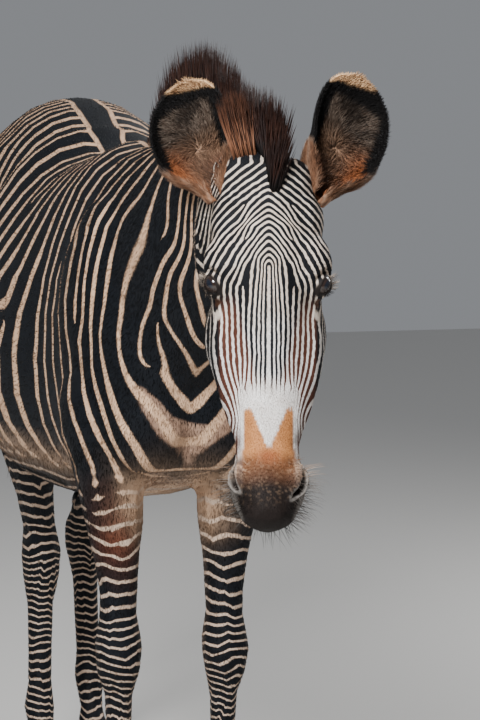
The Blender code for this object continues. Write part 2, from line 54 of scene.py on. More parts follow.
def headAxes():
    turn = Matrix.Rotation(math.radians(headPose["yaw"]), 3, "Z")
    tilt, roll = math.radians(headPose["tilt"]), math.radians(headPose["roll"])
    level = turn @ Vector((1, 0, 0))
    plumb = turn @ Vector((0, -math.sin(tilt), -math.cos(tilt)))
    side = level * math.cos(roll) + plumb * math.sin(roll)
    down = plumb * math.cos(roll) - level * math.sin(roll)
    return np.array([side, down, turn @ Vector((0, -math.cos(tilt), math.sin(tilt)))])


def middle(node):
    low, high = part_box(node)
    return (np.array(low) + np.array(high)) / 2


sides = (("left", 1), ("right", -1))
headTurn = headAxes()
headOrigin = (middle("eye_left") + middle("eye_right")) / 2
headOrigin = headOrigin - headTurn[1] * headPose["eyeDown"] - headTurn[2] * headPose["eyeDepth"]


eyeLook = {
    "gaze": (0.64, 0.16, 0.75),
    "canthus": (-0.30, 0.85, 0.35),
    "long": 0.0170,
    "upper": 0.0125,
    "lower": 0.0100,
    "lidThickness": 0.0016,
    "outer": 0.041,
    "outerShape": 0.92,
    "around": 96,
    "rings": 26,
}


def eyeAxes(sign):
    gaze = fromHead([np.array(eyeLook["gaze"]) * (sign, 1, 1)])[0] - headOrigin
    gaze /= np.linalg.norm(gaze)
    along = fromHead([np.array(eyeLook["canthus"]) * (sign, 1, 1)])[0] - headOrigin
    along -= gaze * (along @ gaze)
    along /= np.linalg.norm(along)
    upward = np.cross(gaze, along) * sign
    return gaze, along, upward


# Points turned between the world and the head's own side, down and out
def toHead(points):
    return (np.asarray(points) - headOrigin) @ headTurn.T


def fromHead(places):
    return headOrigin + np.asarray(places, float) @ headTurn


def smooth(edgeFrom, edgeTo, value):
    t = np.clip((value - edgeFrom) / (edgeTo - edgeFrom), 0, 1)
    return t * t * (3 - 2 * t)


def evaluated(obj):
    graph = bpy.context.evaluated_depsgraph_get()
    bpy.context.view_layer.update()
    return bpy.data.meshes.new_from_object(obj.evaluated_get(graph))


def addObject(name, mesh):
    obj = bpy.data.objects.new(name, mesh)
    bpy.context.scene.collection.objects.link(obj)
    return obj


def vertexArray(mesh, what="co"):
    source, key = (mesh.vertices, "co") if what == "co" else (mesh.vertex_normals, "vector")
    out = np.empty(len(mesh.vertices) * 3, np.float32)
    source.foreach_get(key, out)
    return out.reshape(-1, 3).astype(float)


def placeVertices(mesh, points):
    mesh.vertices.foreach_set("co", np.asarray(points, np.float32).ravel())
    mesh.update()


def gridMesh(name, rings, closed=True):
    rows, around = rings.shape[:2]
    i, j = np.meshgrid(np.arange(rows - 1), np.arange(around if closed else around - 1), indexing="ij")
    k = (j + 1) % around
    faces = np.stack([i * around + j, i * around + k, (i + 1) * around + k, (i + 1) * around + j], -1)
    mesh = bpy.data.meshes.new(name)
    mesh.from_pydata(rings.reshape(-1, 3).tolist(), [], faces.reshape(-1, 4).tolist())
    return mesh


# Adds single points and then faces to a mesh, and turns all its faces outwards
def closeMesh(mesh, faces, points=()):
    shape = bmesh.new()
    shape.from_mesh(mesh)
    for point in points:
        shape.verts.new(point)
    shape.verts.ensure_lookup_table()
    for corners in faces:
        shape.faces.new([shape.verts[corner] for corner in corners])
    bmesh.ops.recalc_face_normals(shape, faces=shape.faces)
    shape.to_mesh(mesh)
    shape.free()


def floatLayer(mesh, name, values):
    layer = mesh.attributes.new(name, "FLOAT", "POINT")
    layer.data.foreach_set("value", np.asarray(values, np.float32))


def vectorLayer(mesh, name, values):
    layer = mesh.attributes.new(name, "FLOAT_VECTOR", "POINT")
    layer.data.foreach_set("vector", np.asarray(values, np.float32).ravel())


def curveThrough(rows, count):
    rows = np.array(rows, float)
    ends = np.vstack([2 * rows[0] - rows[1], rows, 2 * rows[-1] - rows[-2]])
    at = np.linspace(0, len(rows) - 1 - 1e-9, count)
    i, t = at.astype(int), (at % 1)[:, None]
    a, b, c, d = ends[i], ends[i + 1], ends[i + 2], ends[i + 3]
    return 0.5 * (2 * b + (c - a) * t + (2 * a - 5 * b + 4 * c - d) * t**2 + (3 * b - a - 3 * c + d) * t**3)


# The skin: one closed surface drawn from the flesh nodes, with eyes and hooves to fill their places,
# sunk by the coat's depth and then modelled
skin = {
    "voxel": 0.0036,
    "swell": 0.0006,
    "coatDepth": 0.0030,
    "rounding": 14,
    "bodyRounding": 26,
    "triangles": 164000,
    "lowest": 0.020,
    "headShare": 0.30,
    "bodyFrom": (0.40, 0.55),
    "coarseFrom": (0.36, 0.62),
    "headMiddle": (0, 0.32, -0.07),
}
otherNodes = ("ear_", "eye_", "mane", "fore_hoof", "hind_hoof")
fleshNodes = [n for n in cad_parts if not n.startswith(otherNodes)]
fillNodes = [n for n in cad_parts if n.startswith(("eye_", "fore_hoof", "hind_hoof"))]

# Swellings and hollows of the head, alike on both sides: place and reach as side, down, out, then height
headForms = {
    "facialCrest": ((0.088, 0.295, -0.072), (0.016, 0.070, 0.014), 0.0040),
    "browRidge": ((0.082, 0.158, -0.026), (0.030, 0.030, 0.026), 0.0035),
    "hollowAboveEye": ((0.082, 0.128, -0.070), (0.022, 0.022, 0.022), -0.0045),
    "tearTrough": ((0.078, 0.240, -0.040), (0.016, 0.026, 0.020), -0.0040),
    "nasalBone": ((0.026, 0.330, -0.004), (0.012, 0.120, 0.020), 0.0018),
    "cheekMuscle": ((0.095, 0.270, -0.165), (0.030, 0.080, 0.055), 0.0040),
    "jawGroove": ((0.080, 0.375, -0.120), (0.030, 0.040, 0.040), -0.0050),
    "nostrilWing": ((0.060, 0.528, -0.040), (0.018, 0.022, 0.020), 0.0016),
    "poll": ((0.030, -0.014, -0.035), (0.036, 0.040, 0.045), 0.0210),
    "pollSide": ((0.062, -0.006, -0.052), (0.024, 0.034, 0.040), 0.0200),
    "lipTaper": ((0.062, 0.598, -0.060), (0.022, 0.026, 0.050), -0.0060),
    "upperLip": ((0.026, 0.612, -0.062), (0.030, 0.022, 0.030), 0.0030),
    "muzzleWaist": ((0.060, 0.470, -0.070), (0.026, 0.034, 0.050), -0.0030),
    "chinPad": ((0.020, 0.585, -0.128), (0.030, 0.026, 0.026), 0.0030),
}
# The nostrils, 1 on the left side and -1 on the right
nostril = {
    "place": {1: (0.0610, 0.556, -0.036), -1: (0.0640, 0.543, -0.038)},
    "facing": {1: (0.76, 0.18, 0.62), -1: (0.64, 0.17, 0.75)},
    "along": (-0.24, 0.95, 0.10),
    "long": 0.0240,
    "wide": 0.0080,
    "depth": 0.024,
    "bend": 0.003,
    "rim": 0.0022,
    "reach": 0.030,
}
mouth = {"corner": (0.508, -0.122), "front": (0.634, -0.084), "width": 0.0035, "depth": 0.0045}
wrinkles = {"from": 0.500, "to": 0.572, "fade": 0.03, "spacing": 0.0056, "height": 0.0007}
# Swellings and hollows of the body: place and reach as side, along, height, then rise
bodyForms = {
    "shoulderBlade": ((0.165, -0.215, 1.150), (0.060, 0.060, 0.160), 0.006),
    "grooveBehindShoulder": ((0.200, -0.050, 1.060), (0.080, 0.045, 0.170), -0.008),
    "breastMuscle": ((0.060, -0.440, 0.950), (0.045, 0.050, 0.080), 0.008),
    "breastFurrow": ((0.000, -0.450, 0.900), (0.016, 0.080, 0.120), -0.010),
    "flankHollow": ((0.230, 0.480, 1.190), (0.090, 0.070, 0.120), -0.012),
    "stifle": ((0.190, 0.560, 0.870), (0.060, 0.070, 0.080), 0.008),
    "throatFurrow": ((0.095, -0.560, 1.130), (0.040, 0.090, 0.050), -0.006),
    "neckMuscle": ((0.120, -0.500, 1.290), (0.060, 0.160, 0.050), 0.004),
    "kneeHollow": ((0.060, -0.270, 0.430), (0.020, 0.030, 0.030), -0.002),
}


def bumpField(places, forms):
    total = np.zeros(len(places))
    for place, reach, height in forms.values():
        for sign in (1, -1) if place[0] else (1,):
            offset = (places - np.array(place) * (sign, 1, 1)) / np.array(reach)
            total += height * np.exp(-(offset**2).sum(1))
    return total


def nostrilSpot(head, sign):
    offset = head * (sign, 1, 1) - nostril["place"][sign]
    facing = np.array(nostril["facing"][sign]) / np.linalg.norm(nostril["facing"][sign])
    along = np.array(nostril["along"]) - facing * (facing @ nostril["along"])
    along /= np.linalg.norm(along)
    a, b = offset @ along / nostril["long"], offset @ np.cross(facing, along)
    b = (b + nostril["bend"] * (1 - a**2) - nostril["bend"] * 0.5) / nostril["wide"]
    return np.where(np.abs(offset @ facing) < nostril["reach"], a**2 + b**2, 99)


def mouthLine(head):
    (d0, o0), (d1, o1) = mouth["corner"], mouth["front"]
    t = (head[:, 1] - d0) / (d1 - d0)
    off = head[:, 2] - (o0 + (o1 - o0) * t)
    return np.exp(-((off / mouth["width"]) ** 2)) * smooth(-0.12, 0.08, t)


def modelSkin(points, normals):
    head = toHead(points)
    rise = bumpField(head, headForms) + bumpField(points, bodyForms)
    rise -= mouth["depth"] * mouthLine(head)
    side, down = head[:, 0], head[:, 1]
    band = smooth(wrinkles["from"], wrinkles["from"] + wrinkles["fade"], down)
    band *= 1 - smooth(wrinkles["to"] - wrinkles["fade"], wrinkles["to"], down)
    wave = down - 6 * side**2 + 0.0015 * np.sin(side * 190) + 0.001 * np.sin(side * 430)
    rise += band * wrinkles["height"] * np.sin(wave * 2 * math.pi / wrinkles["spacing"])
    moved = points + normals * rise[:, None]
    for sign in (1, -1):
        spot = nostrilSpot(head, sign)
        sunk = nostril["depth"] * (1 - smooth(0.30, 1.35, spot))
        sunk -= nostril["rim"] * np.exp(-(((spot - 2.1) / 0.9) ** 2))
        moved -= np.outer(sunk, (np.array(nostril["facing"][sign]) * (sign, 1, 1)) @ headTurn)
    return moved


def farFromHead(points):
    return np.linalg.norm(toHead(points) - skin["headMiddle"], axis=1)


def weightGroup(obj, name, weights):
    group = obj.vertex_groups.new(name=name)
    steps = np.round(np.clip(weights, 0, 1) * 20).astype(int)
    for step in range(1, 21):
        group.add(np.flatnonzero(steps == step).tolist(), step / 20, "REPLACE")
    return group.name


def applySmooth(obj, factor, iterations, group=""):
    step = obj.modifiers.new("roundOff", "SMOOTH")
    step.factor, step.iterations, step.vertex_group = factor, iterations, group
    obj.data = evaluated(obj)
    obj.modifiers.clear()
    obj.vertex_groups.clear()


def makeSkin():
    shape = bmesh.new()
    for node in fleshNodes + fillNodes:
        single = bmesh.new()
        single.from_mesh(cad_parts[node].data)
        bmesh.ops.remove_doubles(single, verts=single.verts, dist=1e-5)
        single.normal_update()
        for vertex in single.verts:
            vertex.co += vertex.normal * skin["swell"]
        piece = bpy.data.meshes.new("piece")
        single.to_mesh(piece)
        single.free()
        shape.from_mesh(piece)
        bpy.data.meshes.remove(piece)
    mesh = bpy.data.meshes.new("skin")
    shape.to_mesh(mesh)
    shape.free()
    obj = addObject("skin", mesh)
    remesh = obj.modifiers.new("melt", "REMESH")
    remesh.mode, remesh.voxel_size = "VOXEL", skin["voxel"]
    obj.data = evaluated(obj)
    obj.modifiers.clear()
    applySmooth(obj, 0.5, skin["rounding"])
    body = smooth(*skin["bodyFrom"], farFromHead(vertexArray(obj.data)))
    applySmooth(obj, 0.5, skin["bodyRounding"], weightGroup(obj, "body", body))
    points, normals = vertexArray(obj.data), vertexArray(obj.data, "normal")
    points = points - normals * (skin["coatDepth"] + skin["swell"])
    placeVertices(obj.data, modelSkin(points, normals))
    coarse = smooth(*skin["coarseFrom"], farFromHead(points))
    decimate = obj.modifiers.new("thinOut", "DECIMATE")
    decimate.vertex_group = weightGroup(obj, "coarse", 0.5 + 0.5 * coarse)
    decimate.vertex_group_factor = skin["headShare"]
    decimate.ratio = skin["triangles"] / (2 * len(obj.data.polygons))
    obj.data = evaluated(obj)
    obj.modifiers.clear()
    obj.vertex_groups.clear()
    points = vertexArray(obj.data)
    points[:, 2] = np.maximum(points[:, 2], skin["lowest"])
    placeVertices(obj.data, points)
    return obj


skinObject = makeSkin()
print("skin", len(skinObject.data.polygons))


# Markings: pale stripes are whole numbers of a phase that is spread smoothly between guide lines.
# Face: phase, then points down the stripe as side and down in millimetres, alike on both sides
faceStripes = {
    0: ((0, 184), (0, 204), (0, 224), (0, 250), (0, 275), (0, 300),
        (0, 325), (0, 350), (0, 375), (0, 400), (0, 440)),
    1: ((0, 173), (7, 192), (8, 242), (8, 290), (8, 343), (9, 390), (8, 440)),
    2: ((0, 163), (12, 182), (15, 242), (16, 290), (16, 343), (17, 390), (15, 440)),
    3: ((0, 152), (18, 172), (23, 242), (25, 290), (24, 343), (24, 390), (22, 440)),
    4: ((0, 139), (14, 151), (25, 172), (31, 210), (32, 242), (34, 290), (32, 343), (31, 390), (28, 440)),
    5: ((0, 127), (21, 148), (42, 180), (53, 211), (53, 242), (51, 290), (48, 343), (43, 390), (38, 440)),
    6: ((0, 115), (24, 139), (50, 180), (64, 208), (62, 242), (61, 290), (58, 343), (49, 390), (43, 440)),
    7: ((0, 104), (28, 131), (58, 178), (75, 212), (71, 250), (70, 290), (67, 343), (56, 390), (48, 440)),
    8: ((0, 93), (32, 122), (68, 168), (85, 203), (79, 255), (80, 300), (76, 343), (64, 390), (53, 440)),
    9: ((0, 82), (36, 110), (69, 145), (90, 180), (90, 255), (93, 310), (87, 343), (73, 390), (58, 440)),
    10: ((2, 71), (42, 101), (74, 133), (97, 172), (108, 255), (114, 300), (102, 350), (85, 393), (64, 440)),
    11: ((6, 59), (46, 90), (80, 124), (104, 160), (136, 262), (150, 318), (125, 370), (101, 405), (74, 450)),
    12: ((8, 47), (50, 79), (85, 114), (110, 148), (175, 270), (190, 330), (155, 390), (115, 430)),
    13: ((9, 35), (54, 68), (90, 104), (108, 136)),
    14: ((10, 22), (58, 56), (95, 94)),
    15: ((12, 8), (62, 44), (100, 84)),
}
# Body: phase, then points down the stripe as side, along and height in centimetres, alike on both sides
bodyStripes = {
    -1: ((2, -80, 140), (2, -78, 128), (1, -74, 118)),
    0: ((4, -75, 137), (4, -72, 124), (3, -69, 118), (1, -66, 113)),
    1: ((4, -74, 140), (5, -71, 127), (6, -66, 121), (4, -64, 114), (0, -60, 108)),
    2: ((5, -70, 138), (6, -68, 127), (7, -63, 122), (7, -58, 114), (4, -58, 108), (0, -54, 102)),
    3: ((6, -64, 139), (7, -66, 129), (8, -60, 123), (9, -55, 115),
        (9, -52, 107), (5, -53, 101), (0, -50, 96)),
    4: ((6, -58, 141), (9, -56, 130), (11, -50, 122), (12, -46, 112),
        (12, -48, 104), (7, -50, 96), (0, -46, 89)),
    5: ((6, -52, 141), (9, -48, 135), (12, -41, 127), (14, -40, 120),
        (15, -42, 106), (13, -45, 96), (8, -46, 87)),
    6: ((6, -47, 142), (10, -39, 135), (14, -37, 127), (16, -37, 118),
        (17, -37, 107), (15, -42, 94), (9, -40, 84)),
    7: ((6, -42, 142), (11, -34, 135), (16, -35, 126), (18, -35, 118),
        (18, -34, 107), (17, -38, 96), (13, -39, 85)),
    8: ((5, -36, 143), (11, -29, 136), (16, -33, 126), (18, -32, 116),
        (19, -30, 105), (18, -35, 93), (16, -36, 84)),
    9: ((5, -30, 143), (13, -24, 136), (17, -27, 126), (20, -25, 116),
        (20, -24, 105), (20, -28, 92), (17, -29, 82)),
    10: ((5, -24, 143), (13, -18, 136), (18, -19, 126), (20, -18, 104), (20, -21, 90)),
    12: ((5, -12, 142), (18, -10, 127), (22, -6, 104), (21, -8, 88)),
    16: ((6, 8, 140), (20, 10, 127), (25, 20, 104), (24, 20, 86)),
    20: ((7, 28, 138), (22, 30, 127), (28, 42, 104), (24, 40, 82)),
    24: ((8, 48, 143), (21, 48, 128), (26, 55, 104), (22, 50, 84)),
    27: ((8, 63, 148), (20, 61, 130), (23, 58, 108), (20, 53, 88)),
    30: ((8, 75, 147), (19, 71, 130), (22, 66, 108), (19, 60, 87)),
    33: ((7, 85, 143), (17, 80, 128), (21, 75, 106), (18, 67, 86)),
    36: ((5, 93, 132), (15, 88, 122), (18, 83, 104), (17, 75, 84)),
    39: ((8, 97, 117), (14, 91, 106), (16, 82, 84)),
    42: ((9, 93, 100), (13, 86, 86)),
}
# Half widths of the pale stripes and other sizes, in metres; duties are shares of a whole phase
marks = {
    "faceHalf": 0.0021,
    "faceDuty": (0.12, 0.225),
    "bodyHalf": 0.0050,
    "bodyDuty": (0.085, 0.18),
    "legDuty": 0.128,
    "midStripe": 0.011,
    "cheekPeriod": 0.036,
    "legTop": (0.84, 0.90),
    "legFade": 0.08,
    "hindFrom": 0.40,
    "bellyHeight": 0.825,
    "midline": 0.030,
    "roundMiddle": 0.0045,
}
# The broad pale fold of the breast: its two edges as heights for each side
breastFold = {
    "side": (-0.115, -0.085, -0.060, -0.035, -0.010, 0.010, 0.030, 0.060, 0.090),
    "lower": (1.005, 0.955, 0.915, 0.893, 0.880, 0.850, 0.880, 0.905, 0.925),
    "upper": (1.020, 1.000, 0.978, 0.948, 0.938, 0.932, 0.930, 0.937, 0.950),
}
# The spine's dark line: how wide it is on each side, along the back
spineLine = {
    "along": (-0.40, 0.0, 0.30, 0.62, 0.90),
    "halfWidth": (0.008, 0.013, 0.026, 0.028, 0.018),
}
# How far apart the leg's stripes stand at each height
legSpacing = (
    (0.0, 0.016),
    (0.25, 0.018),
    (0.40, 0.014),
    (0.50, 0.017),
    (0.60, 0.026),
    (0.72, 0.030),
    (1.0, 0.034),
)
# Stripes that begin and end within the pattern: side and down of both ends on the face
faceForks = (
    ((0.040, 0.214), (0.040, 0.480)),
    ((0.036, 0.070), (0.036, 0.132)),
)
# The same on the body, as along and height
bodyForks = (
    ((-0.612, 1.290), (-0.730, 1.430)),
    ((-0.515, 1.045), (-0.560, 1.130)),
    ((-0.330, 1.090), (-0.180, 1.230)),
    ((0.180, 1.300), (0.120, 1.060)),
    ((0.600, 1.250), (0.640, 1.020)),
)


# The turn that each fork adds to the phase, stored as a direction so that it can be blended
def forkTurn(places, forks, mirrored=False):
    turn = np.zeros(len(places))
    for start, end in forks:
        for sign, (u, v) in ((1, start), (-1, end)):
            turn += sign * np.arctan2(places[:, 0] - u, places[:, 1] - v)
            if mirrored:
                turn += sign * np.arctan2(-places[:, 0] - u, places[:, 1] - v)
    return turn


# Sides counted so that nothing has a kink on the midline
def roundMiddle(side):
    return np.hypot(side, marks["roundMiddle"]) - marks["roundMiddle"]


# A smooth phase through the guide points: cubic radial functions and a plane
def phaseField(guides, scale, softness, forks=()):
    places = np.array([point for points in guides.values() for point in points], float) * scale
    if forks:
        places[:, 0] = roundMiddle(places[:, 0])
    values = np.array([phase for phase, points in guides.items() for _ in points], float)
    values -= forkTurn(places, forks, True) / (2 * math.pi)
    count = len(places)
    flat = np.column_stack([np.ones(count), places])
    gaps = np.linalg.norm(places[:, None] - places[None], axis=2)
    system = np.block([[gaps**3 + softness * np.eye(count), flat], [flat.T, np.zeros((flat.shape[1],) * 2)]])
    weights = np.linalg.solve(system, np.append(values, np.zeros(flat.shape[1])))
    bends, level, slopes = weights[:count], weights[count], weights[count + 1 :]

    def field(points):
        out = np.empty(len(points))
        for start in range(0, len(points), 20000):
            part = points[start : start + 20000]
            reach = np.linalg.norm(part[:, None] - places[None], axis=2) ** 3
            out[start : start + 20000] = reach @ bends + level + part @ slopes
        return out

    return field


faceField = phaseField(faceStripes, 0.001, 2e-8, faceForks)
bodyField = phaseField(bodyStripes, 0.01, 2e-6)


# The face's pattern is laid over its girth, so that it carries on round the cheeks
def facePlace(head):
    side, down, out = head.T
    girth = roundMiddle(side + 0.001) + 0.8 * np.maximum(0, -0.085 - out)
    return np.column_stack([girth, np.clip(down, -0.01, 0.46)])


# The phase is held level down the midline, where one pale stripe runs straight
def facePhase(head):
    place = facePlace(head)
    downs = np.linspace(-0.01, 0.46, 236)
    onMiddle = np.column_stack([np.zeros(len(downs)), downs])
    wander = faceField(onMiddle) + forkTurn(onMiddle, faceForks, True) / (2 * math.pi)
    level = np.exp(-((place[:, 0] / marks["midStripe"]) ** 2)) * smooth(0.184, 0.200, place[:, 1])
    side, down = head[:, 0], head[:, 1]
    waver = 0.07 * np.sin(side * 290 + 4 * np.sin(down * 70)) * np.sin(down * 240 + side * 90)
    waver *= (1 - smooth(0.33, 0.38, down)) * smooth(0.004, 0.016, np.abs(side))
    return faceField(place) + waver - level * np.interp(place[:, 1], downs, wander)


def cheekPhase(head):
    down, out = head[:, 1], head[:, 2]
    return (down - 1.15 * out + 0.010 * np.sin(down * 26)) / marks["cheekPeriod"]


def bodyPhase(points):
    side = np.hypot(points[:, 0], marks["midline"]) - marks["midline"] * np.exp(-np.abs(points[:, 0]) / 0.04)
    return bodyField(np.column_stack([side, points[:, 1:]]))


def legPhase(points):
    heights = np.linspace(0, 1.0, 201)
    spacing = np.interp(heights, *zip(*legSpacing))
    phases = np.cumsum(1 / spacing) * (heights[1] - heights[0])
    x, y, z = points.T
    wave = 0.006 * np.sin(x * 70 + z * 31) + 0.004 * np.sin(y * 60 - z * 43)
    wave = wave + 0.003 * np.sin(x * 150 - z * 90)
    lean = 0.16 * (np.abs(x) - 0.10) * smooth(0.45, 0.80, z)
    return np.interp(z + wave + lean, heights, phases)


def phasesAt(points, onHead):
    head = toHead(points)
    first = np.where(onHead, facePhase(head), bodyPhase(points))
    return first, np.where(onHead, cheekPhase(head), legPhase(points))


def slopeOf(phase, points, step=0.003):
    total = np.zeros(len(points))
    for axis in range(3):
        shift = np.zeros(3)
        shift[axis] = step
        total += ((phase(points + shift) - phase(points - shift)) / (2 * step)) ** 2
    return np.sqrt(total)


# 1 on the head and 0 beyond a slanting plane behind the jaw
def isHead(head):
    return smooth(-0.020, 0.004, (head[:, 2] + 0.175) * 0.839 + (head[:, 1] - 0.07) * 0.545)


def mixColours(base, colour, share):
    return base + (np.array(colour) - base) * share[:, None]


palette = {
    # the body's pale stripes: a tan of their own, made dimmer than the face's whites as painted shade
    "shadedBodyPale": (0.680, 0.455, 0.300),
    "bodyDark": (0.0060, 0.0075, 0.0105),
    "facePale": (0.800, 0.700, 0.600),
    "faceWhite": (0.900, 0.880, 0.860),
    "faceDark": (0.0090, 0.0100, 0.0130),
    "faceBrown": (0.105, 0.040, 0.026),
    "muzzleTan": (0.550, 0.240, 0.088),
    "muzzleBrown": (0.082, 0.034, 0.021),
    "bridgeRed": (0.300, 0.085, 0.030),
    "noseDark": (0.0155, 0.0115, 0.0105),
    "nostrilRim": (0.230, 0.215, 0.200),
    "foldCream": (0.560, 0.380, 0.250),
    "lip": (0.030, 0.027, 0.026),
    "lidDark": (0.016, 0.013, 0.012),
    "eyeBrown": (0.110, 0.050, 0.030),
    "legBrown": (0.150, 0.045, 0.022),
    # the legs' pale stripes: greyer and darker than the body's, as painted shade
    "shadedLegPale": (0.560, 0.430, 0.335),
    "breastPale": (0.330, 0.215, 0.155),
}


def legShare(points):
    legTop = np.where(points[:, 1] > marks["hindFrom"], marks["legTop"][1], marks["legTop"][0])
    return 1 - smooth(legTop - marks["legFade"], legTop, points[:, 2])


# What the stripes are made of: two phases and their mix, the share of pale, the forks and the spine's line
def stripeMarks(points, head, inHead, onLeg):
    side, down, out = np.abs(head[:, 0]), head[:, 1], head[:, 2]
    onHead = inHead > 0.5
    marked = {}
    marked["phaseA"], marked["phaseB"] = phasesAt(points, onHead)
    faceDuty = np.clip(marks["faceHalf"] * slopeOf(facePhase, head), *marks["faceDuty"])
    faceDuty += 0.22 * smooth(0.355, 0.410, down) * smooth(0.062, 0.044, side)
    bodyDuty = np.clip(marks["bodyHalf"] * slopeOf(bodyPhase, points), *marks["bodyDuty"])
    breast = smooth(-0.36, -0.44, points[:, 1]) * smooth(1.06, 0.98, points[:, 2])
    bodyDuty *= 1 + 0.7 * breast
    onCheek = (1 - smooth(-0.205, -0.160, out)) * inHead
    marked["mixAB"] = np.where(onHead, onCheek, onLeg)
    marked["duty"] = np.where(onHead, faceDuty, bodyDuty + (marks["legDuty"] - bodyDuty) * onLeg)
    faceTurn, bodyTurn = forkTurn(facePlace(head), faceForks, True), forkTurn(points[:, 1:], bodyForks)
    turn = np.where(onHead, faceTurn, bodyTurn)
    marked["fork"] = np.column_stack([np.cos(turn), np.sin(turn), np.zeros(len(points))])
    # the spine's broad dark line
    onSpine = smooth(1.30, 1.36, points[:, 2]) * smooth(-0.42, -0.30, points[:, 1])
    widths = np.interp(points[:, 1], spineLine["along"], spineLine["halfWidth"])
    waver = 1 + 0.10 * np.sin(points[:, 1] * 41) + 0.08 * np.sin(points[:, 1] * 97)
    marked["spineWidth"] = widths * onSpine * waver
    return marked


# Colours of the pale and of the dark stripes, before the muzzle and the eyes; the body's and the legs' pale
# stripes carry painted shade
def stripeColours(points, head, inHead, onLeg):
    side, down = np.abs(head[:, 0]), head[:, 1]
    x, y, z = points.T
    # the body's pale starts from its tan, dimmed as painted shade
    pale = np.tile(np.array(palette["shadedBodyPale"]), (len(points), 1))
    dark = np.tile(np.array(palette["bodyDark"]), (len(points), 1))
    pale = mixColours(pale, palette["facePale"], inHead)
    pale = mixColours(pale, palette["faceWhite"], inHead * smooth(0.20, 0.34, down))
    # painted shade on the legs' pale stripes
    pale = mixColours(pale, palette["shadedLegPale"], onLeg * (1 - inHead))
    brown = smooth(0.215, 0.255, down) * smooth(0.036, 0.050, side + 0.25 * (down - 0.30)) * inHead
    brown *= 1 - smooth(0.078, 0.088, side) * (1 - smooth(0.38, 0.43, down))
    brown = np.maximum(brown, 0.6 * smooth(0.365, 0.40, down) * inHead)
    belly = 1 - smooth(marks["bellyHeight"] - 0.05, marks["bellyHeight"] + 0.03, z)
    belly *= smooth(-0.30, -0.20, y) * (1 - smooth(0.44, 0.55, y))
    armpit = np.exp(-(((np.abs(x) - 0.05) / 0.05) ** 2 + ((z - 0.77) / 0.06) ** 2))
    belly = np.maximum(belly * (1 - onLeg * smooth(0.05, 0.09, np.abs(x))), armpit * (y < 0))
    legBrown = np.exp(-(((z - 0.70) / 0.05) ** 2 + ((x + 0.105) / 0.035) ** 2)) * (y < -0.2)
    lower, upper = (np.interp(x, breastFold["side"], breastFold[edge]) for edge in ("lower", "upper"))
    fold = smooth(lower - 0.003, lower + 0.003, z) * (1 - smooth(upper - 0.003, upper + 0.003, z))
    fold *= (y < -0.38) * smooth(-0.100, -0.085, x)
    for tint, share in (
        ("faceDark", inHead),
        ("faceBrown", brown),
        ("shadedBodyPale", np.clip(belly, 0, 1)),
        ("legBrown", legBrown * 0.7),
        ("breastPale", fold),
    ):
        dark = mixColours(dark, palette[tint], share)
    return pale, dark


# The end of the face: a white band, two tan patches, a brown bridge, a dark nose and its folds and lips, and
# painted shade within the nostrils
def muzzleTints(head):
    side, down, out = np.abs(head[:, 0]), head[:, 1], head[:, 2]
    fade = smooth(0.386, 0.412, down + 0.004 * np.sin(side * 700)) * (1 - smooth(0.042, 0.052, side))
    notch = 0.030 * np.clip((0.495 - down) / 0.070, 0, 1.4)
    ragged = 0.003 * np.sin(side * 1500) + 0.002 * np.sin(side * 3100 + 1)
    tan = smooth(0.422, 0.427, down + ragged - 2.5 * np.maximum(0, 0.030 - side))
    tan = tan * (1 - smooth(0.0405, 0.0440, side))
    tan *= smooth(notch - 0.002, notch + 0.003, side + 0.0015 * np.sin(down * 900))
    tan = np.maximum(tan, smooth(0.486, 0.497, down) * (1 - smooth(0.042, 0.050, side)))
    bridge = smooth(0.499, 0.524, down + 0.12 * side) * (1 - smooth(0.048, 0.060, side - 0.1 * (down - 0.5)))
    red = np.exp(-((side / 0.020) ** 2 + ((down - 0.508) / 0.012) ** 2))
    slant = down - 0.10 * side
    nose = 0.50 * smooth(0.518, 0.542, slant) + 0.50 * smooth(0.535, 0.565, slant)
    edge = smooth(-0.004, 0.002, side - 0.060 + 0.34 * np.maximum(0, down - 0.560))
    edge *= smooth(0.535, 0.550, down) * (1 - smooth(0.606, 0.622, down)) * (out > -0.085)
    folds = smooth(0.2, 0.8, np.sin((side * 0.9 + down * 0.75) * 1500))
    folds = folds * np.exp(-(((side - 0.050) / 0.012) ** 2 + ((down - 0.523) / 0.018) ** 2))
    swirls = np.sin(side * 1150 + 3 * np.sin(down * 460)) * np.sin(down * 1350 + 2 * np.sin(side * 700))
    grains = smooth(0.25, 0.80, swirls)
    grains *= smooth(0.500, 0.515, down) * (1 - smooth(0.560, 0.605, down)) * (1 - smooth(0.050, 0.060, side))
    lips = smooth(0.470, 0.500, down) * (1 - smooth(-0.100, -0.080, out))
    flank = smooth(0.490, 0.525, down) * smooth(0.042, 0.050, side) * (out > -0.095)
    spots = np.exp(-(((side - 0.055) / 0.007) ** 2 + ((down - 0.478) / 0.016) ** 2))
    rim, nostrilShade = np.zeros(len(head)), np.zeros(len(head))
    for sign in (1, -1):
        spot = nostrilSpot(head, sign)
        # painted shade in the depth of each nostril
        nostrilShade = np.maximum(nostrilShade, 1 - smooth(0.88, 1.22, spot))
        rim = np.maximum(rim, smooth(1.05, 1.30, spot) * (1 - smooth(1.5, 2.3, spot)))
    return [
        ("faceWhite", fade),
        ("foldCream", flank * 0.75),
        ("muzzleTan", tan),
        ("muzzleBrown", bridge * 0.80),
        ("bridgeRed", red * 0.8),
        ("noseDark", nose),
        ("foldCream", grains * 0.15),
        ("lip", lips),
        ("foldCream", folds * 0.8),
        ("nostrilRim", edge * 0.8),
        ("faceBrown", spots),
        ("nostrilRim", rim * 0.9),
        # painted shade within the nostrils
        ("noseDark", nostrilShade),
    ]


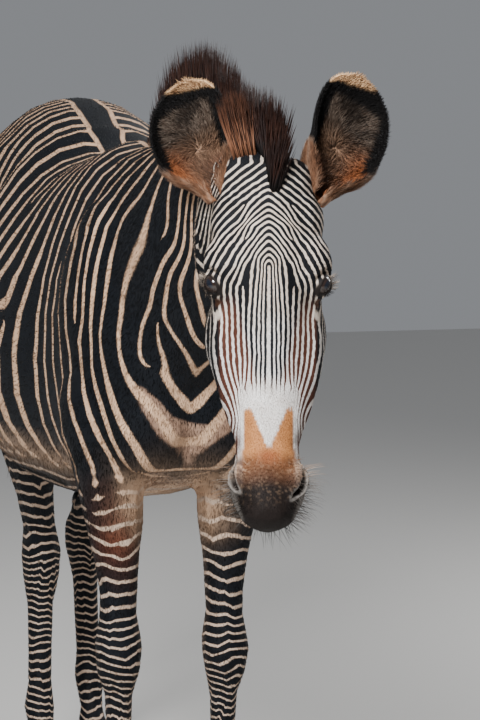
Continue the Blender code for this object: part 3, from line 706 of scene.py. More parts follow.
# A pale and a brown patch below each eye, and the dark skin of the lids
def eyeTints(points, head):
    side, down, out = np.abs(head[:, 0]), head[:, 1], head[:, 2]
    under = ((side - 0.088) / 0.010) ** 2 + ((down - 0.231) / 0.008) ** 2 + ((out + 0.062) / 0.018) ** 2
    below = ((side - 0.086) / 0.009) ** 2 + ((down - 0.252) / 0.012) ** 2 + ((out + 0.064) / 0.018) ** 2
    tints = [
        ("facePale", smooth(0.35, 0.75, np.exp(-below)) * 0.85),
        ("eyeBrown", smooth(0.30, 0.75, np.exp(-under))),
    ]
    for name, sign in sides:
        offset = points - middle("eye_" + name)
        along, upward = eyeAxes(sign)[1:]
        lidded = np.hypot((offset @ along - 0.003) / 0.0225, offset @ upward / 0.0150)
        lidded = (1 - smooth(0.85, 1.10, lidded)) * (np.linalg.norm(offset, axis=1) < 0.055)
        tints.append(("lidDark", lidded))
    return tints


def markingsAt(points):
    head = toHead(points)
    inHead = isHead(head)
    onLeg = legShare(points)
    marked = stripeMarks(points, head, inHead, onLeg)
    tints = [(tint, share * inHead) for tint, share in muzzleTints(head)] + eyeTints(points, head)
    for name, colour in zip(("pale", "dark"), stripeColours(points, head, inHead, onLeg)):
        for tint, share in tints:
            colour = mixColours(colour, palette[tint], share)
        marked[name] = colour
    return marked


def storeMarks(mesh, marked):
    for name, values in marked.items():
        if values.ndim == 1:
            floatLayer(mesh, name, values)
        elif name == "fork":
            vectorLayer(mesh, name, values)
        else:
            layer = mesh.attributes.new(name, "FLOAT_COLOR", "POINT")
            rgba = np.column_stack([values, np.ones(len(values))])
            layer.data.foreach_set("color", rgba.astype(np.float32).ravel())


# Materials, built from a few short calls
class Nodes:
    def __init__(self, name):
        self.material = bpy.data.materials.new(name)
        self.material.use_nodes = True
        self.tree = self.material.node_tree
        self.shader = self.tree.nodes["Principled BSDF"]

    def add(self, kind, settings=None, **inputs):
        node = self.tree.nodes.new("ShaderNode" + kind)
        for key, value in (settings or {}).items():
            setattr(node, key, value)
        for key, value in inputs.items():
            self.feed(node, int(key[1:]) if key[0] == "i" and key[1:].isdigit() else key, value)
        return node

    def feed(self, node, key, value):
        socket = node.inputs[key] if isinstance(key, int) else node.inputs[key.replace("_", " ")]
        if isinstance(value, bpy.types.NodeSocket):
            self.tree.links.new(value, socket)
        else:
            socket.default_value = value

    def math(self, operation, a, b=0.0, c=0.0):
        return self.add("Math", {"operation": operation}, i0=a, i1=b, i2=c).outputs[0]

    def attribute(self, name, output="Fac"):
        return self.add("Attribute", {"attribute_name": name}).outputs[output]

    def ramp(self, value, low, high):
        node = self.add("MapRange", {"interpolation_type": "SMOOTHSTEP"}, Value=value)
        node.inputs["From Min"].default_value = low
        node.inputs["From Max"].default_value = high
        return node.outputs["Result"]

    def mix(self, share, a, b, kind="MIX"):
        node = self.add("Mix", {"data_type": "RGBA", "blend_type": kind})
        for index, value in ((0, share), (6, a), (7, b)):
            self.feed(node, index, value)
        return node.outputs[2]

    def noise(self, scale, detail, where):
        return self.add("TexNoise", None, Scale=scale, Detail=detail, Vector=where).outputs["Fac"]

    def finish(self, colour, **inputs):
        self.feed(self.shader, "Base Color", colour)
        for key, value in inputs.items():
            self.feed(self.shader, key, value)
        return self.material


coatFinish = {
    "fuzz": 0.05,
    "wander": 0.08,
    "edge": 0.040,
    "spineBorder": 0.010,
    "roughness": 0.60,
    "sheen": 0.02,
    "bump": 0.25,
    "mottle": (0.30, 0.17, 0.09, 1),
    "strand": (0.45, 0.38, 0.32, 1),
    "shadow": (0.20, 0.14, 0.11, 1),
}


def coatMaterial(name, onTufts):
    n = Nodes(name)
    place = n.add("TexCoord").outputs["Object"]
    wander = n.math("MULTIPLY", n.math("SUBTRACT", n.noise(9, 2, place), 0.5), coatFinish["wander"] * 2)
    fork = n.add("SeparateXYZ", None, Vector=n.attribute("fork", "Vector"))
    turn = n.math("ARCTAN2", fork.outputs[1], fork.outputs[0])
    forked = n.math("MULTIPLY_ADD", turn, 1 / (2 * math.pi), wander)
    fuzz = n.math("MULTIPLY", n.math("SUBTRACT", n.noise(420, 1, place), 0.5), coatFinish["fuzz"] * 2)
    value = []
    for letter in "AB":
        phase = n.attribute("phase" + letter)
        if onTufts:
            phase = n.math("MULTIPLY_ADD", n.attribute("drift" + letter), n.attribute("along"), phase)
        shifted = n.math("ADD", phase, forked) if letter == "A" else phase
        wave = n.math("PINGPONG", shifted, 0.5)
        value.append(n.math("SUBTRACT", n.attribute("duty"), wave))
    blend = n.attribute("mixAB")
    first = n.math("MULTIPLY", value[0], n.math("SUBTRACT", 1.0, blend))
    light = n.math("ADD", n.math("MULTIPLY_ADD", value[1], blend, first), fuzz)
    isPale = n.ramp(light, -coatFinish["edge"], coatFinish["edge"])
    # the dark line on the spine, with a pale border
    across = n.math("ABSOLUTE", n.add("SeparateXYZ", None, Vector=place).outputs[0])
    beyond = n.math("SUBTRACT", across, n.attribute("spineWidth"))
    border = n.ramp(n.math("SUBTRACT", coatFinish["spineBorder"], beyond), 0.0, 0.003)
    border = n.math("MULTIPLY", border, n.math("GREATER_THAN", n.attribute("spineWidth"), 0.004))
    isPale = n.math("MAXIMUM", isPale, border)
    isPale = n.math("MULTIPLY", isPale, n.ramp(beyond, -0.003, 0.001))
    colour = n.mix(isPale, n.attribute("dark", "Color"), n.attribute("pale", "Color"))
    mottle = n.math("SUBTRACT", 1.0, n.ramp(n.noise(38, 4, place), 0.25, 0.75))
    colour = n.mix(n.math("MULTIPLY", mottle, 0.28), colour, coatFinish["mottle"], "MULTIPLY")
    strands = n.noise(700, 2, n.add("Mapping", None, Vector=place, Scale=(1.0, 1.0, 0.25)).outputs[0])
    strand = n.math("MULTIPLY", n.ramp(strands, 0.35, 0.7), 0.35)
    colour = n.mix(strand, colour, coatFinish["strand"], "MULTIPLY")
    if onTufts:
        tone = n.math("MULTIPLY", n.math("SUBTRACT", 1.0, n.attribute("tone")), n.attribute("streak"))
        colour = n.mix(tone, colour, coatFinish["shadow"], "MULTIPLY")
    else:
        bump = n.add("Bump", None, Strength=coatFinish["bump"], Distance=0.002, Height=strands)
        n.feed(n.shader, "Normal", bump.outputs[0])
    return n.finish(colour, Roughness=coatFinish["roughness"], Sheen_Weight=coatFinish["sheen"],
                    Sheen_Roughness=0.4, Specular_IOR_Level=0.10)


skinPoints = vertexArray(skinObject.data)
storeMarks(skinObject.data, markingsAt(skinPoints))
skinObject.data.materials.clear()
skinObject.data.materials.append(coatMaterial("zebraSkin", False))
print("markings laid")


# Ears: two fine cups that stand at the same root and lean as the solids
earPose = {
    "root": (0.086, 0.013, -0.085),
    "lean": {"left": 25, "right": 20},
    "size": {"left": 1.02, "right": 0.93},
    "back": 4,
    "facing": 12,
    "sunk": 0.0018,
    "wall": 0.0026,
    "rings": 60,
    "across": 36,
}
# Up an ear from its root: distance, offset outward, half width, depth of the cup, how far the rims wrap
earPath = (
    (-0.030, 0.002, 0.028, 0.026, 172),
    (0.000, 0.006, 0.040, 0.034, 160),
    (0.024, 0.014, 0.055, 0.043, 138),
    (0.050, 0.020, 0.064, 0.048, 116),
    (0.080, 0.022, 0.068, 0.048, 101),
    (0.112, 0.018, 0.072, 0.044, 92),
    (0.144, 0.012, 0.070, 0.037, 86),
    (0.170, 0.006, 0.060, 0.028, 80),
    (0.190, 0.001, 0.044, 0.018, 72),
    (0.202, -0.002, 0.018, 0.009, 62),
)
earColours = {
    "black": (0.0100, 0.0095, 0.0100),
    "cream": (0.900, 0.600, 0.340),
    "inside": (0.175, 0.140, 0.112),
    # dark hair of the whorl, also used as painted shade where the cup is deepest
    "deep": (0.018, 0.013, 0.010),
    "innerTan": (0.360, 0.220, 0.140),
    "orange": (0.480, 0.170, 0.065),
    "baseBrown": (0.200, 0.100, 0.060),
    "cheek": (0.270, 0.135, 0.075),
    "shadow": (0.055, 0.030, 0.021),
    "creamFur": (0.560, 0.380, 0.270),
}


# An ear's root and its directions up, to the front and outward
def earFrame(name):
    sign = dict(sides)[name]
    turn = Matrix.Rotation(math.radians(headPose["yaw"] + sign * earPose["facing"]), 3, "Z")
    lean = Matrix.Rotation(math.radians(sign * earPose["lean"][name]), 3, turn @ Vector((0, 1, 0)))
    back = Matrix.Rotation(math.radians(-earPose["back"]), 3, turn @ Vector((1, 0, 0)))
    up = lean @ back @ Vector((0, 0, 1))
    ahead = turn @ Vector((0, -1, 0))
    front = (ahead - up * up.dot(ahead)).normalized()
    side, down, out = earPose["root"]
    root = fromHead([(sign * side, down, out)])[0]
    return root, np.array(up), np.array(front), np.array(sign * up.cross(front))


def makeEar(name):
    root, up, front, outward = earFrame(name)
    rows = curveThrough(earPath, earPose["rings"])
    around = earPose["across"]
    share = np.linspace(-1, 1, around + 1)
    # outside from rim to rim, then the inside back again
    order = np.concatenate([share, share[::-1]])
    inner = np.concatenate([np.zeros(around + 1), np.ones(around + 1)])
    rings = []
    for distance, offset, halfWidth, depth, wrap in rows:
        wall = min(earPose["wall"], halfWidth * 0.2)
        shrink = earPose["sunk"] + wall * inner
        angle = np.radians(wrap) * order * (1 - 0.02 * inner)
        centre = root + (up * distance + outward * offset) * earPose["size"][name]
        wide, deep = np.maximum(halfWidth - shrink, 0.002), np.maximum(depth - shrink, 0.002)
        rings.append(centre + np.outer(wide * np.sin(angle), outward) - np.outer(deep * np.cos(angle), front))
    mesh = gridMesh("ear", np.array(rings))
    count = len(order)
    edges = []
    for start, step in ((0, -1), (count * (len(rows) - 1), 1)):
        for j in range(around):
            edges.append([start + j, start + j + 1, start + count - 2 - j, start + count - 1 - j][::step])
    closeMesh(mesh, edges)
    turn = np.radians(np.outer(rows[:, 4], order)).ravel()
    return {"mesh": mesh, "across": np.tile(order, len(rows)), "height": np.repeat(rows[:, 0], count),
            "inner": np.tile(inner, len(rows)), "turn": turn}


# Marks of a surface that has no stripes
def unmarked(count):
    plain = {"phaseA": 0.0, "phaseB": 0.0, "mixAB": 0.0, "duty": 0.5, "spineWidth": 0.0}
    marked = {key: np.full(count, value) for key, value in plain.items()}
    return marked | {"fork": np.tile((1.0, 0.0, 0.0), (count, 1))}


def earTinted(start, tints):
    for tint, share in tints:
        start = mixColours(start, earColours[tint], share)
    return start


# Within the cup: the hair's whorl, painted shade where the cup is deepest, the tan and orange root, and the
# black rim and crown
def earInside(across, height, wide, outer):
    whorl = np.arctan2((height - 0.098) / 0.045, across - 0.05)
    reach = np.hypot((height - 0.098) / 0.045, across - 0.05)
    swirl = smooth(0.15, 0.75, np.sin(whorl * 7 + 3.0 * reach + 1.3 * np.sin(whorl * 3 + 5 * reach)))
    swirl = swirl * smooth(0.12, 0.35, reach)
    # painted shade where the cup is deepest
    deep = np.exp(-(((across - 0.05) / 0.30) ** 2 + ((height - 0.088) / 0.020) ** 2))
    edge = np.where(outer, 0.74 + 0.12 * (1 - smooth(0.030, 0.080, height)), 0.62)
    rim = smooth(edge - 0.03, edge + 0.04, wide)
    rim = rim * np.where(outer, smooth(0.028, 0.050, height), smooth(0.050, 0.062, height))
    crown = smooth(0.146, 0.160, height + 0.016 * (1 - np.cos(across * 1.5)))
    return earTinted(np.tile(np.array(earColours["inside"]), (len(across), 1)), (
        ("deep", np.maximum(deep * 0.85, swirl * 0.80)),
        ("innerTan", (1 - smooth(0.060, 0.115, height + 0.010 * across)) * 0.85),
        ("baseBrown", (1 - smooth(0.025, 0.055, height)) * smooth(0.3, -0.3, across)),
        ("orange", (1 - smooth(0.055, 0.105, height)) * smooth(0.0, 0.45, across)),
        ("black", np.maximum(rim, crown)),
    ))


# On the back: bars at the root, black above them, and loose fur along both edges
def earOutside(across, height, turn, outer):
    bars = smooth(-0.2, 0.2, np.sin(height * 330 + np.abs(across) * 3))
    nearEdge = smooth(1.15, 1.35, np.abs(turn))
    blackFrom = np.where(outer, smooth(0.028, 0.050, height), smooth(0.05, 0.07, height))
    tufty = smooth(-0.1, 0.8, np.sin(turn * 17 + height * 90 + 2.2 * np.sin(height * 150 - turn * 6)))
    strands = smooth(0.2, 0.9, np.sin(turn * 11 - height * 120 + 1.5))
    low = 1 - smooth(0.05, 0.07, height)
    atEdge = nearEdge * low
    return earTinted(np.tile(np.array(palette["facePale"]), (len(across), 1)), (
        ("black", np.where(height < 0.06, bars, smooth(0.060, 0.070, height))),
        ("black", nearEdge * blackFrom),
        ("cheek", smooth(1.15, 1.35, -turn) * low),
        ("cheek", smooth(1.15, 1.35, turn) * (1 - smooth(0.030, 0.052, height))),
        ("shadow", 0.70 * tufty * atEdge),
        ("creamFur", 0.45 * strands * atEdge),
    ))


# Colours of an ear from its place: across and turn run to the outer rim, inner is 1 within the cup
def earMarks(ear):
    across, height, inner, turn = ear["across"], ear["height"], ear["inner"], ear["turn"]
    wide = np.where(np.abs(turn) < math.pi / 2, np.sin(np.abs(turn)), 1.0)
    outer = across > 0
    inside, outside = earInside(across, height, wide, outer), earOutside(across, height, turn, outer)
    colour = np.where(inner[:, None] > 0.5, inside, outside)
    colour = mixColours(colour, earColours["cream"], smooth(0.181, 0.187, height - 0.010 * across))
    return unmarked(len(across)) | {"pale": colour, "dark": colour}


# Eyes: a glossy ball with its iris, and lids drawn round it from the skin
def lidOpening(angle):
    rise = np.where(np.sin(angle) > 0, eyeLook["upper"], eyeLook["lower"])
    pointed = np.abs(np.sin(angle)) ** 1.15 * np.sign(np.sin(angle))
    return eyeLook["long"] * np.cos(angle), rise * pointed


def makeLids(name, tree):
    centre = middle("eye_" + name)
    gaze, along, upward = eyeAxes(dict(sides)[name])
    angle = np.linspace(0, 2 * math.pi, eyeLook["around"], endpoint=False)
    a0, b0 = lidOpening(angle)
    ball = eyeBall["radius"] + 0.0003
    rings = []
    shares = np.concatenate([[-0.05, 0.0, 0.012], np.linspace(0.035, 1, eyeLook["rings"]) ** 1.25])
    for share in shares:
        grow = max(share, 0)
        a = a0 + (eyeLook["outer"] * np.cos(angle) - a0) * grow
        b = b0 + (eyeLook["outer"] * eyeLook["outerShape"] * np.sin(angle) - b0) * grow
        onBall = np.sqrt(np.maximum(ball**2 - a**2 - b**2, (0.35 * ball) ** 2))
        thickness = eyeLook["lidThickness"] * min(1, grow / 0.012)
        t = float(smooth(0.10, 0.80, np.array(grow)))
        tuckedIn = 0.0008 * smooth(0.8, 1.0, np.array(grow))
        ring = []
        for k in range(len(angle)):
            flat = centre + along * a[k] + upward * b[k]
            hit = tree.ray_cast(Vector(flat + gaze * 0.12), Vector(-gaze), 0.2)[0]
            onSkin = float((np.array(hit) - flat) @ gaze) if hit else 0.0
            wide = math.hypot(a[k] - a0[k], b[k] - b0[k])
            lid = onBall[k] + thickness + 0.0012 * math.sin(min(1, wide / 0.005) * math.pi)
            crease = 0.0016 * math.exp(-(((wide - 0.0065) / 0.0016) ** 2)) * (1 if b[k] > 0 else 0.7)
            crease += 0.0008 * math.exp(-(((wide - 0.0110) / 0.0013) ** 2))
            height = lid * (1 - t) + (onSkin - tuckedIn) * t - crease
            if share < 0:
                height = onBall[k] - 0.003
            ring.append(flat + gaze * height)
        rings.append(ring)
    mesh = gridMesh("lid", np.array(rings))
    shape = bmesh.new()
    shape.from_mesh(mesh)
    shape.normal_update()
    if sum(face.normal.dot(Vector(gaze)) for face in shape.faces) < 0:
        bmesh.ops.reverse_faces(shape, faces=shape.faces)
    shape.to_mesh(mesh)
    shape.free()
    return mesh


# The skin is pressed back behind each eye, so that the ball and its lids lie in a socket
def pressSockets(mesh):
    points = vertexArray(mesh)
    for name, sign in sides:
        gaze, along, upward = eyeAxes(sign)
        offset = points - middle("eye_" + name)
        wide = np.hypot(offset @ along, offset @ upward / eyeLook["outerShape"])
        facing = (offset @ gaze > -0.005) & (np.abs(offset @ gaze) < 0.05)
        sunk = 0.026 * (1 - smooth(0.012, 0.030, wide)) + 0.0025 * (1 - smooth(0.030, 0.0395, wide))
        points -= np.outer(sunk * facing, gaze)
    placeVertices(mesh, points)


def makeEyeBall(name):
    centre = middle("eye_" + name)
    gaze, along, upward = eyeAxes(dict(sides)[name])
    turn = np.linspace(0, math.pi, 41)[1:-1]
    angle = np.linspace(0, 2 * math.pi, 64, endpoint=False)
    circle = np.outer(np.cos(angle), along) + np.outer(np.sin(angle), upward)
    rings = []
    for t in turn:
        bulge = eyeBall["radius"] * (1 + 0.05 * math.exp(-((t / 0.55) ** 2)))
        rings.append(centre + gaze * bulge * math.cos(t) + bulge * math.sin(t) * circle)
    mesh = gridMesh("eyeBall", np.array(rings))
    count, last = len(angle), len(angle) * (len(turn) - 1)
    poles = [centre + gaze * eyeBall["radius"] * reach for reach in (1.05, -1)]
    caps = []
    for pole, start in ((count * len(turn), 0), (count * len(turn) + 1, last)):
        caps += [(pole, start + j, start + (j + 1) % count) for j in range(count)]
    closeMesh(mesh, caps, poles)
    offset = vertexArray(mesh) - centre
    unit = offset / np.linalg.norm(offset, axis=1)[:, None]
    # how far each point lies from the pupil's long slot and from the middle of the iris
    ahead = unit @ gaze > 0
    slot = np.hypot((unit @ along) / 0.42, (unit @ upward) / 0.22)
    ring = np.hypot(unit @ along, unit @ upward)
    storeMarks(mesh, {"pupil": np.where(ahead, slot, 3), "iris": np.where(ahead, ring, 2)})
    obj = addObject("eyeball_" + name, mesh)
    obj.data.materials.append(eyeMaterial())
    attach(obj, "root")
    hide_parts("eye_" + name)


def eyeMaterial():
    if "zebraEye" in bpy.data.materials:
        return bpy.data.materials["zebraEye"]
    n = Nodes("zebraEye")
    place = n.add("TexCoord").outputs["Object"]
    fibres = n.noise(260, 3, place)
    iris = n.mix(fibres, (0.008, 0.005, 0.004, 1), (0.028, 0.014, 0.010, 1))
    white = n.mix(n.noise(90, 3, place), (0.016, 0.011, 0.009, 1), (0.05, 0.036, 0.030, 1))
    colour = n.mix(n.ramp(n.attribute("iris"), 0.62, 0.70), iris, white)
    # the pupil: near black of its own, with a blue tint that is a painted reflection
    colour = n.mix(n.ramp(n.attribute("pupil"), 0.9, 1.15), (0.004, 0.006, 0.012, 1), colour)
    return n.finish(colour, Roughness=0.06, Coat_Weight=0.8, Coat_Roughness=0.02, IOR=1.38)


# Hooves: horn walls with growth rings over the solids' own footprint
hoofShape = {
    "rings": 26,
    "around": 64,
    "growth": 0.0007,
    "growthSpacing": 0.0062,
    "coronetSwell": 0.0010,
    "shrink": 0.012,
    "soleBelow": 0.002,
    "topAbove": 0.040,
}


def makeHoof(node):
    corners = vertexArray(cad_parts[node].data)
    sole = corners[corners[:, 2] < hoofShape["soleBelow"]]
    top = corners[corners[:, 2] > hoofShape["topAbove"]]
    count = hoofShape["around"]
    angle = np.linspace(0, 2 * math.pi, count, endpoint=False)
    soleMid, topMid = (sole.min(0) + sole.max(0)) / 2, (top.min(0) + top.max(0)) / 2
    soleHalf, topHalf = (sole.max(0) - sole.min(0)) / 2, (top.max(0) - top.min(0)) / 2
    slope = (top[:, 2].max() - top[:, 2].min()) / (2 * topHalf[1])
    rings = []
    for t in np.linspace(0, 1, hoofShape["rings"]):
        mid = topMid + (soleMid - topMid) * t
        half = topHalf + (soleHalf - topHalf) * t
        height = top[:, 2].mean() * (1 - t)
        around = np.column_stack([half[0] * np.cos(angle), half[1] * np.sin(angle)])
        wave = math.sin(height * 2 * math.pi / hoofShape["growthSpacing"])
        grow = hoofShape["growth"] * wave * (0.3 + 0.7 * t) * (t < 0.95)
        swell = hoofShape["coronetSwell"] * math.exp(-((t / 0.08) ** 2))
        around *= 1 + (grow + swell) / half[0] - hoofShape["shrink"]
        z = np.maximum(height - around[:, 1] * slope * (1 - t), 0)
        rings.append(np.column_stack([mid[0] + around[:, 0], mid[1] + around[:, 1], z]))
    # the top is closed by a rounded rim that sinks inside the skin
    inward = np.array([*topMid[:2], 0]) - rings[0] * (1, 1, 0)
    rim = rings[0] + inward * 0.16 + (0, 0, 0.004)
    sunken = rings[0] + inward * 0.5 - (0, 0, 0.006)
    rings = [sunken, rim] + rings
    mesh = gridMesh("hoof", np.array(rings))
    closeMesh(mesh, [range(count), [len(rings) * count - 1 - j for j in range(count)]])
    obj = addObject("horn_" + node, mesh)
    obj.data.materials.append(hoofMaterial())
    for face in obj.data.polygons:
        face.use_smooth = len(face.vertices) == 4
    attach(obj, "root")
    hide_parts(node)


def hoofMaterial():
    if "hoofHorn" in bpy.data.materials:
        return bpy.data.materials["hoofHorn"]
    n = Nodes("hoofHorn")
    place = n.add("TexCoord").outputs["Object"]
    rings = n.noise(60, 3, n.add("Mapping", None, Vector=place, Scale=(0.3, 0.3, 4.0)).outputs[0])
    streaks = n.noise(170, 2, n.add("Mapping", None, Vector=place, Scale=(1.0, 1.0, 0.12)).outputs[0])
    colour = n.mix(n.ramp(rings, 0.3, 0.7), (0.020, 0.017, 0.016, 1), (0.085, 0.068, 0.055, 1))
    colour = n.mix(n.math("MULTIPLY", n.ramp(streaks, 0.45, 0.75), 0.5), colour, (0.16, 0.13, 0.10, 1))
    bump = n.add("Bump", None, Strength=0.35, Distance=0.001, Height=streaks)
    return n.finish(colour, Roughness=n.math("MULTIPLY_ADD", rings, 0.25, 0.38), Normal=bump.outputs[0])


skinFaces = [tuple(face.vertices) for face in skinObject.data.polygons]
skinTree = BVHTree.FromPolygons([tuple(point) for point in skinPoints], skinFaces)
lids = [makeLids(name, skinTree) for name, sign in sides]
pressSockets(skinObject.data)
for name, sign in sides:
    makeEyeBall(name)
for node in [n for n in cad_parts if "hoof" in n]:
    makeHoof(node)
print("eyes and hooves made")


# Lids and ears join the skin's own mesh, with the same marks
def joinToSkin(extras):
    shape = bmesh.new()
    shape.from_mesh(skinObject.data)
    for mesh in extras:
        shape.from_mesh(mesh)
    shape.to_mesh(skinObject.data)
    shape.free()


for mesh in lids:
    storeMarks(mesh, markingsAt(vertexArray(mesh)))
ears = {name: makeEar(name) for name, sign in sides}
for ear in ears.values():
    storeMarks(ear["mesh"], earMarks(ear))
joinToSkin(lids + [ear["mesh"] for ear in ears.values()])
for face in skinObject.data.polygons:
    face.use_smooth = True
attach(skinObject, "root")
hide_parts(*fleshNodes, "ear_left", "ear_right")
print("skin whole:", len(skinObject.data.polygons), "faces")


# Coat: one tree of Geometry Nodes sets tufts on any surface that carries the marks, the lie and the length.
# A tuft lies along +Y with +Z away from the skin; its rows are the way along, the rise, the width
# and the thickness, and the last row is its tip
tuftRows = {
    "short": ((-0.15, -0.35, 1.0, 0.55), (1.0, 0.35)),
    "curved": ((-0.10, -0.40, 1.0, 0.9), (0.50, 1.60, 0.75, 0.7), (1.0, 1.0)),
    "lock": ((-0.03, -0.5, 0.8, 0.8), (0.30, 0.9, 1.0, 0.9), (0.68, 1.6, 0.62, 0.55), (1.0, 0.8)),
    "whisker": ((-0.02, 0.0, 1.0, 1.0), (0.35, 2.0, 0.8, 0.8), (0.70, 1.0, 0.5, 0.5), (1.0, -5.0)),
}
tuftSides = 3
patchSize = 0.003


def makeTuft(name):
    rows = tuftRows[name]
    angle = np.arange(tuftSides) * 2 * math.pi / tuftSides + math.pi / 2
    rings = []
    for along, rise, width, thick in rows[:-1]:
        rings.append(np.column_stack([0.5 * width * np.cos(angle), np.full(tuftSides, along),
                                      rise + 0.5 * thick * np.sin(angle)]))
    mesh = gridMesh("tuft_" + name, np.array(rings))
    last, tip = (len(rings) - 1) * tuftSides, len(rings) * tuftSides
    faces = [(last + j, last + (j + 1) % tuftSides, tip) for j in range(tuftSides)]
    closeMesh(mesh, faces + [range(tuftSides)], [(0, *rows[-1])])
    points = vertexArray(mesh)
    patch = [points[:, 0] / np.ptp(points[:, 0]), points[:, 1] - 0.5, np.zeros(len(points))]
    vectorLayer(mesh, "patch", np.column_stack(patch))
    floatLayer(mesh, "along", np.clip(points[:, 1], 0, 1))
    return addObject("tuft_" + name, mesh)


class GeometryTree:
    def __init__(self, name, sockets):
        self.tree = bpy.data.node_groups.new(name, "GeometryNodeTree")
        for label, kind in sockets:
            self.tree.interface.new_socket(label, in_out="INPUT", socket_type="NodeSocket" + kind)
        self.tree.interface.new_socket("Geometry", in_out="OUTPUT", socket_type="NodeSocketGeometry")
        self.given = self.tree.nodes.new("NodeGroupInput").outputs

    def add(self, kind, settings=None, inputs=()):
        node = self.tree.nodes.new(kind)
        for key, value in (settings or {}).items():
            setattr(node, key, value)
        for key, value in inputs:
            if isinstance(value, bpy.types.NodeSocket):
                self.tree.links.new(value, node.inputs[key])
            else:
                node.inputs[key].default_value = value
        return node

    def named(self, name, kind):
        node = self.add("GeometryNodeInputNamedAttribute", {"data_type": kind}, [("Name", name)])
        return node.outputs["Attribute"]

    def times(self, a, b):
        return self.add("ShaderNodeMath", {"operation": "MULTIPLY"}, [(0, a), (1, b)]).outputs[0]

    def chance(self, low, high, step):
        seed = self.add("ShaderNodeMath", {"operation": "ADD"}, [(0, self.given["Seed"]), (1, step)])
        spread = self.add("FunctionNodeRandomValue", {"data_type": "FLOAT"},
                          [(2, low), (3, high), ("Seed", seed.outputs[0])])
        return spread.outputs[1]

    def store(self, geometry, name, value, kind="FLOAT", domain="POINT"):
        return self.add("GeometryNodeStoreNamedAttribute", {"data_type": kind, "domain": domain},
                        [("Geometry", geometry), ("Name", name), ("Value", value)]).outputs[0]


def tuftTree():
    t = GeometryTree("tufts", (
        ("Geometry", "Geometry"), ("Tuft", "Object"), ("Region", "String"), ("Lie", "String"),
        ("Unwrap", "String"), ("Density", "Float"), ("Width", "Float"), ("Length", "Float"),
        ("Shortest", "Float"), ("Lift", "Float"), ("Scatter", "Float"), ("Seed", "Int"),
        ("Material", "Material")))
    given = t.given
    density = t.times(given["Density"], t.named(given["Region"], "FLOAT"))
    spots = t.add("GeometryNodeDistributePointsOnFaces", {"distribute_method": "RANDOM"},
                  [("Mesh", given["Geometry"]), ("Density", density), ("Seed", given["Seed"])])
    toned = t.store(spots.outputs["Points"], "tone", t.chance(0.0, 1.0, 5))
    # +Y of each tuft follows the lie, and +Z keeps as near the skin's normal as it can
    lie = t.named(given["Lie"], "FLOAT_VECTOR")
    facing = t.add("FunctionNodeAxesToRotation", {"primary_axis": "Y", "secondary_axis": "Z"},
                   [("Primary Axis", lie), ("Secondary Axis", spots.outputs["Normal"])])
    lift = t.times(given["Lift"], t.chance(0.3, 1.6, 1))
    scatter = t.times(given["Scatter"], t.chance(-1.0, 1.0, 2))
    turn = t.add("ShaderNodeCombineXYZ", None, [(0, lift), (2, scatter)])
    swing = t.add("FunctionNodeEulerToRotation", None, [(0, turn.outputs[0])])
    rotation = t.add("FunctionNodeRotateRotation", {"rotation_space": "LOCAL"},
                     [(0, facing.outputs[0]), (1, swing.outputs[0])])
    length = t.times(given["Length"], t.named("furLength", "FLOAT"))
    length = t.times(length, t.chance(given["Shortest"], 1.12, 3))
    width = t.times(given["Width"], t.chance(0.7, 1.3, 4))
    scale = t.add("ShaderNodeCombineXYZ", None, [(0, width), (1, length), (2, width)])
    source = t.add("GeometryNodeObjectInfo", {"transform_space": "ORIGINAL"}, [("Object", given["Tuft"])])
    placed = t.add("GeometryNodeInstanceOnPoints", None, [
        ("Points", toned), ("Instance", source.outputs["Geometry"]),
        ("Rotation", rotation.outputs[0]), ("Scale", scale.outputs[0])])
    solid = t.add("GeometryNodeRealizeInstances", None, [("Geometry", placed.outputs[0])])
    # a small patch of the bake's map for each tuft, at its root's place on the unwrap
    patch = t.add("ShaderNodeVectorMath", {"operation": "SCALE"},
                  [(0, t.named("patch", "FLOAT_VECTOR")), ("Scale", patchSize)])
    spot = t.add("ShaderNodeVectorMath", {"operation": "ADD"},
                 [(0, t.named(given["Unwrap"], "FLOAT_VECTOR")), (1, patch.outputs[0])])
    mapped = t.store(solid.outputs[0], "OFBake", spot.outputs[0], "FLOAT2", "CORNER")
    dressed = t.add("GeometryNodeSetMaterial", None, [("Geometry", mapped), ("Material", given["Material"])])
    t.tree.links.new(dressed.outputs[0], t.tree.nodes.new("NodeGroupOutput").inputs[0])
    return t.tree


tufts = {name: makeTuft(name) for name in tuftRows}
coatTree = tuftTree()
keptMarks = (
    "phaseA", "phaseB", "driftA", "driftB", "fork", "streak", "mixAB", "duty", "spineWidth",
    "pale", "dark", "along", "tone", "OFBake", "position", "sharp_face", "material_index",
)


def growTufts(name, surface, settings, material):
    obj = addObject(name, surface.data.copy())
    obj.data.materials.clear()
    step = obj.modifiers.new("tufts", "NODES")
    step.node_group = coatTree
    density = float(settings["density"] * (1))
    values = {
        "Tuft": tufts[settings["tuft"]],
        "Region": settings["region"],
        "Lie": settings["lie"],
        "Unwrap": settings["unwrap"],
        "Density": density,
        "Width": settings["width"],
        "Length": settings["length"],
        "Shortest": settings["shortest"],
        "Lift": math.radians(settings["lift"]),
        "Scatter": math.radians(settings["scatter"]),
        "Seed": settings["seed"],
        "Material": material,
    }
    for socket in coatTree.interface.items_tree:
        if socket.in_out == "INPUT" and socket.name in values:
            step[socket.identifier] = values[socket.name]
    obj.update_tag()
    grown = evaluated(obj)
    obj.modifiers.clear()
    obj.data = grown
    for spare in [a.name for a in grown.attributes if a.name not in keptMarks and not a.name.startswith(".")]:
        grown.attributes.remove(grown.attributes[spare])
    grown.shade_smooth()
    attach(obj, "root")
    print(name, sum(len(face.vertices) - 2 for face in grown.polygons), "triangles")
    return obj


def unitRows(vectors):
    return vectors / np.maximum(np.linalg.norm(vectors, axis=1), 1e-9)[:, None]


whorl = {"down": 0.085, "cheekFrom": 0.04, "cheekTo": 0.14}


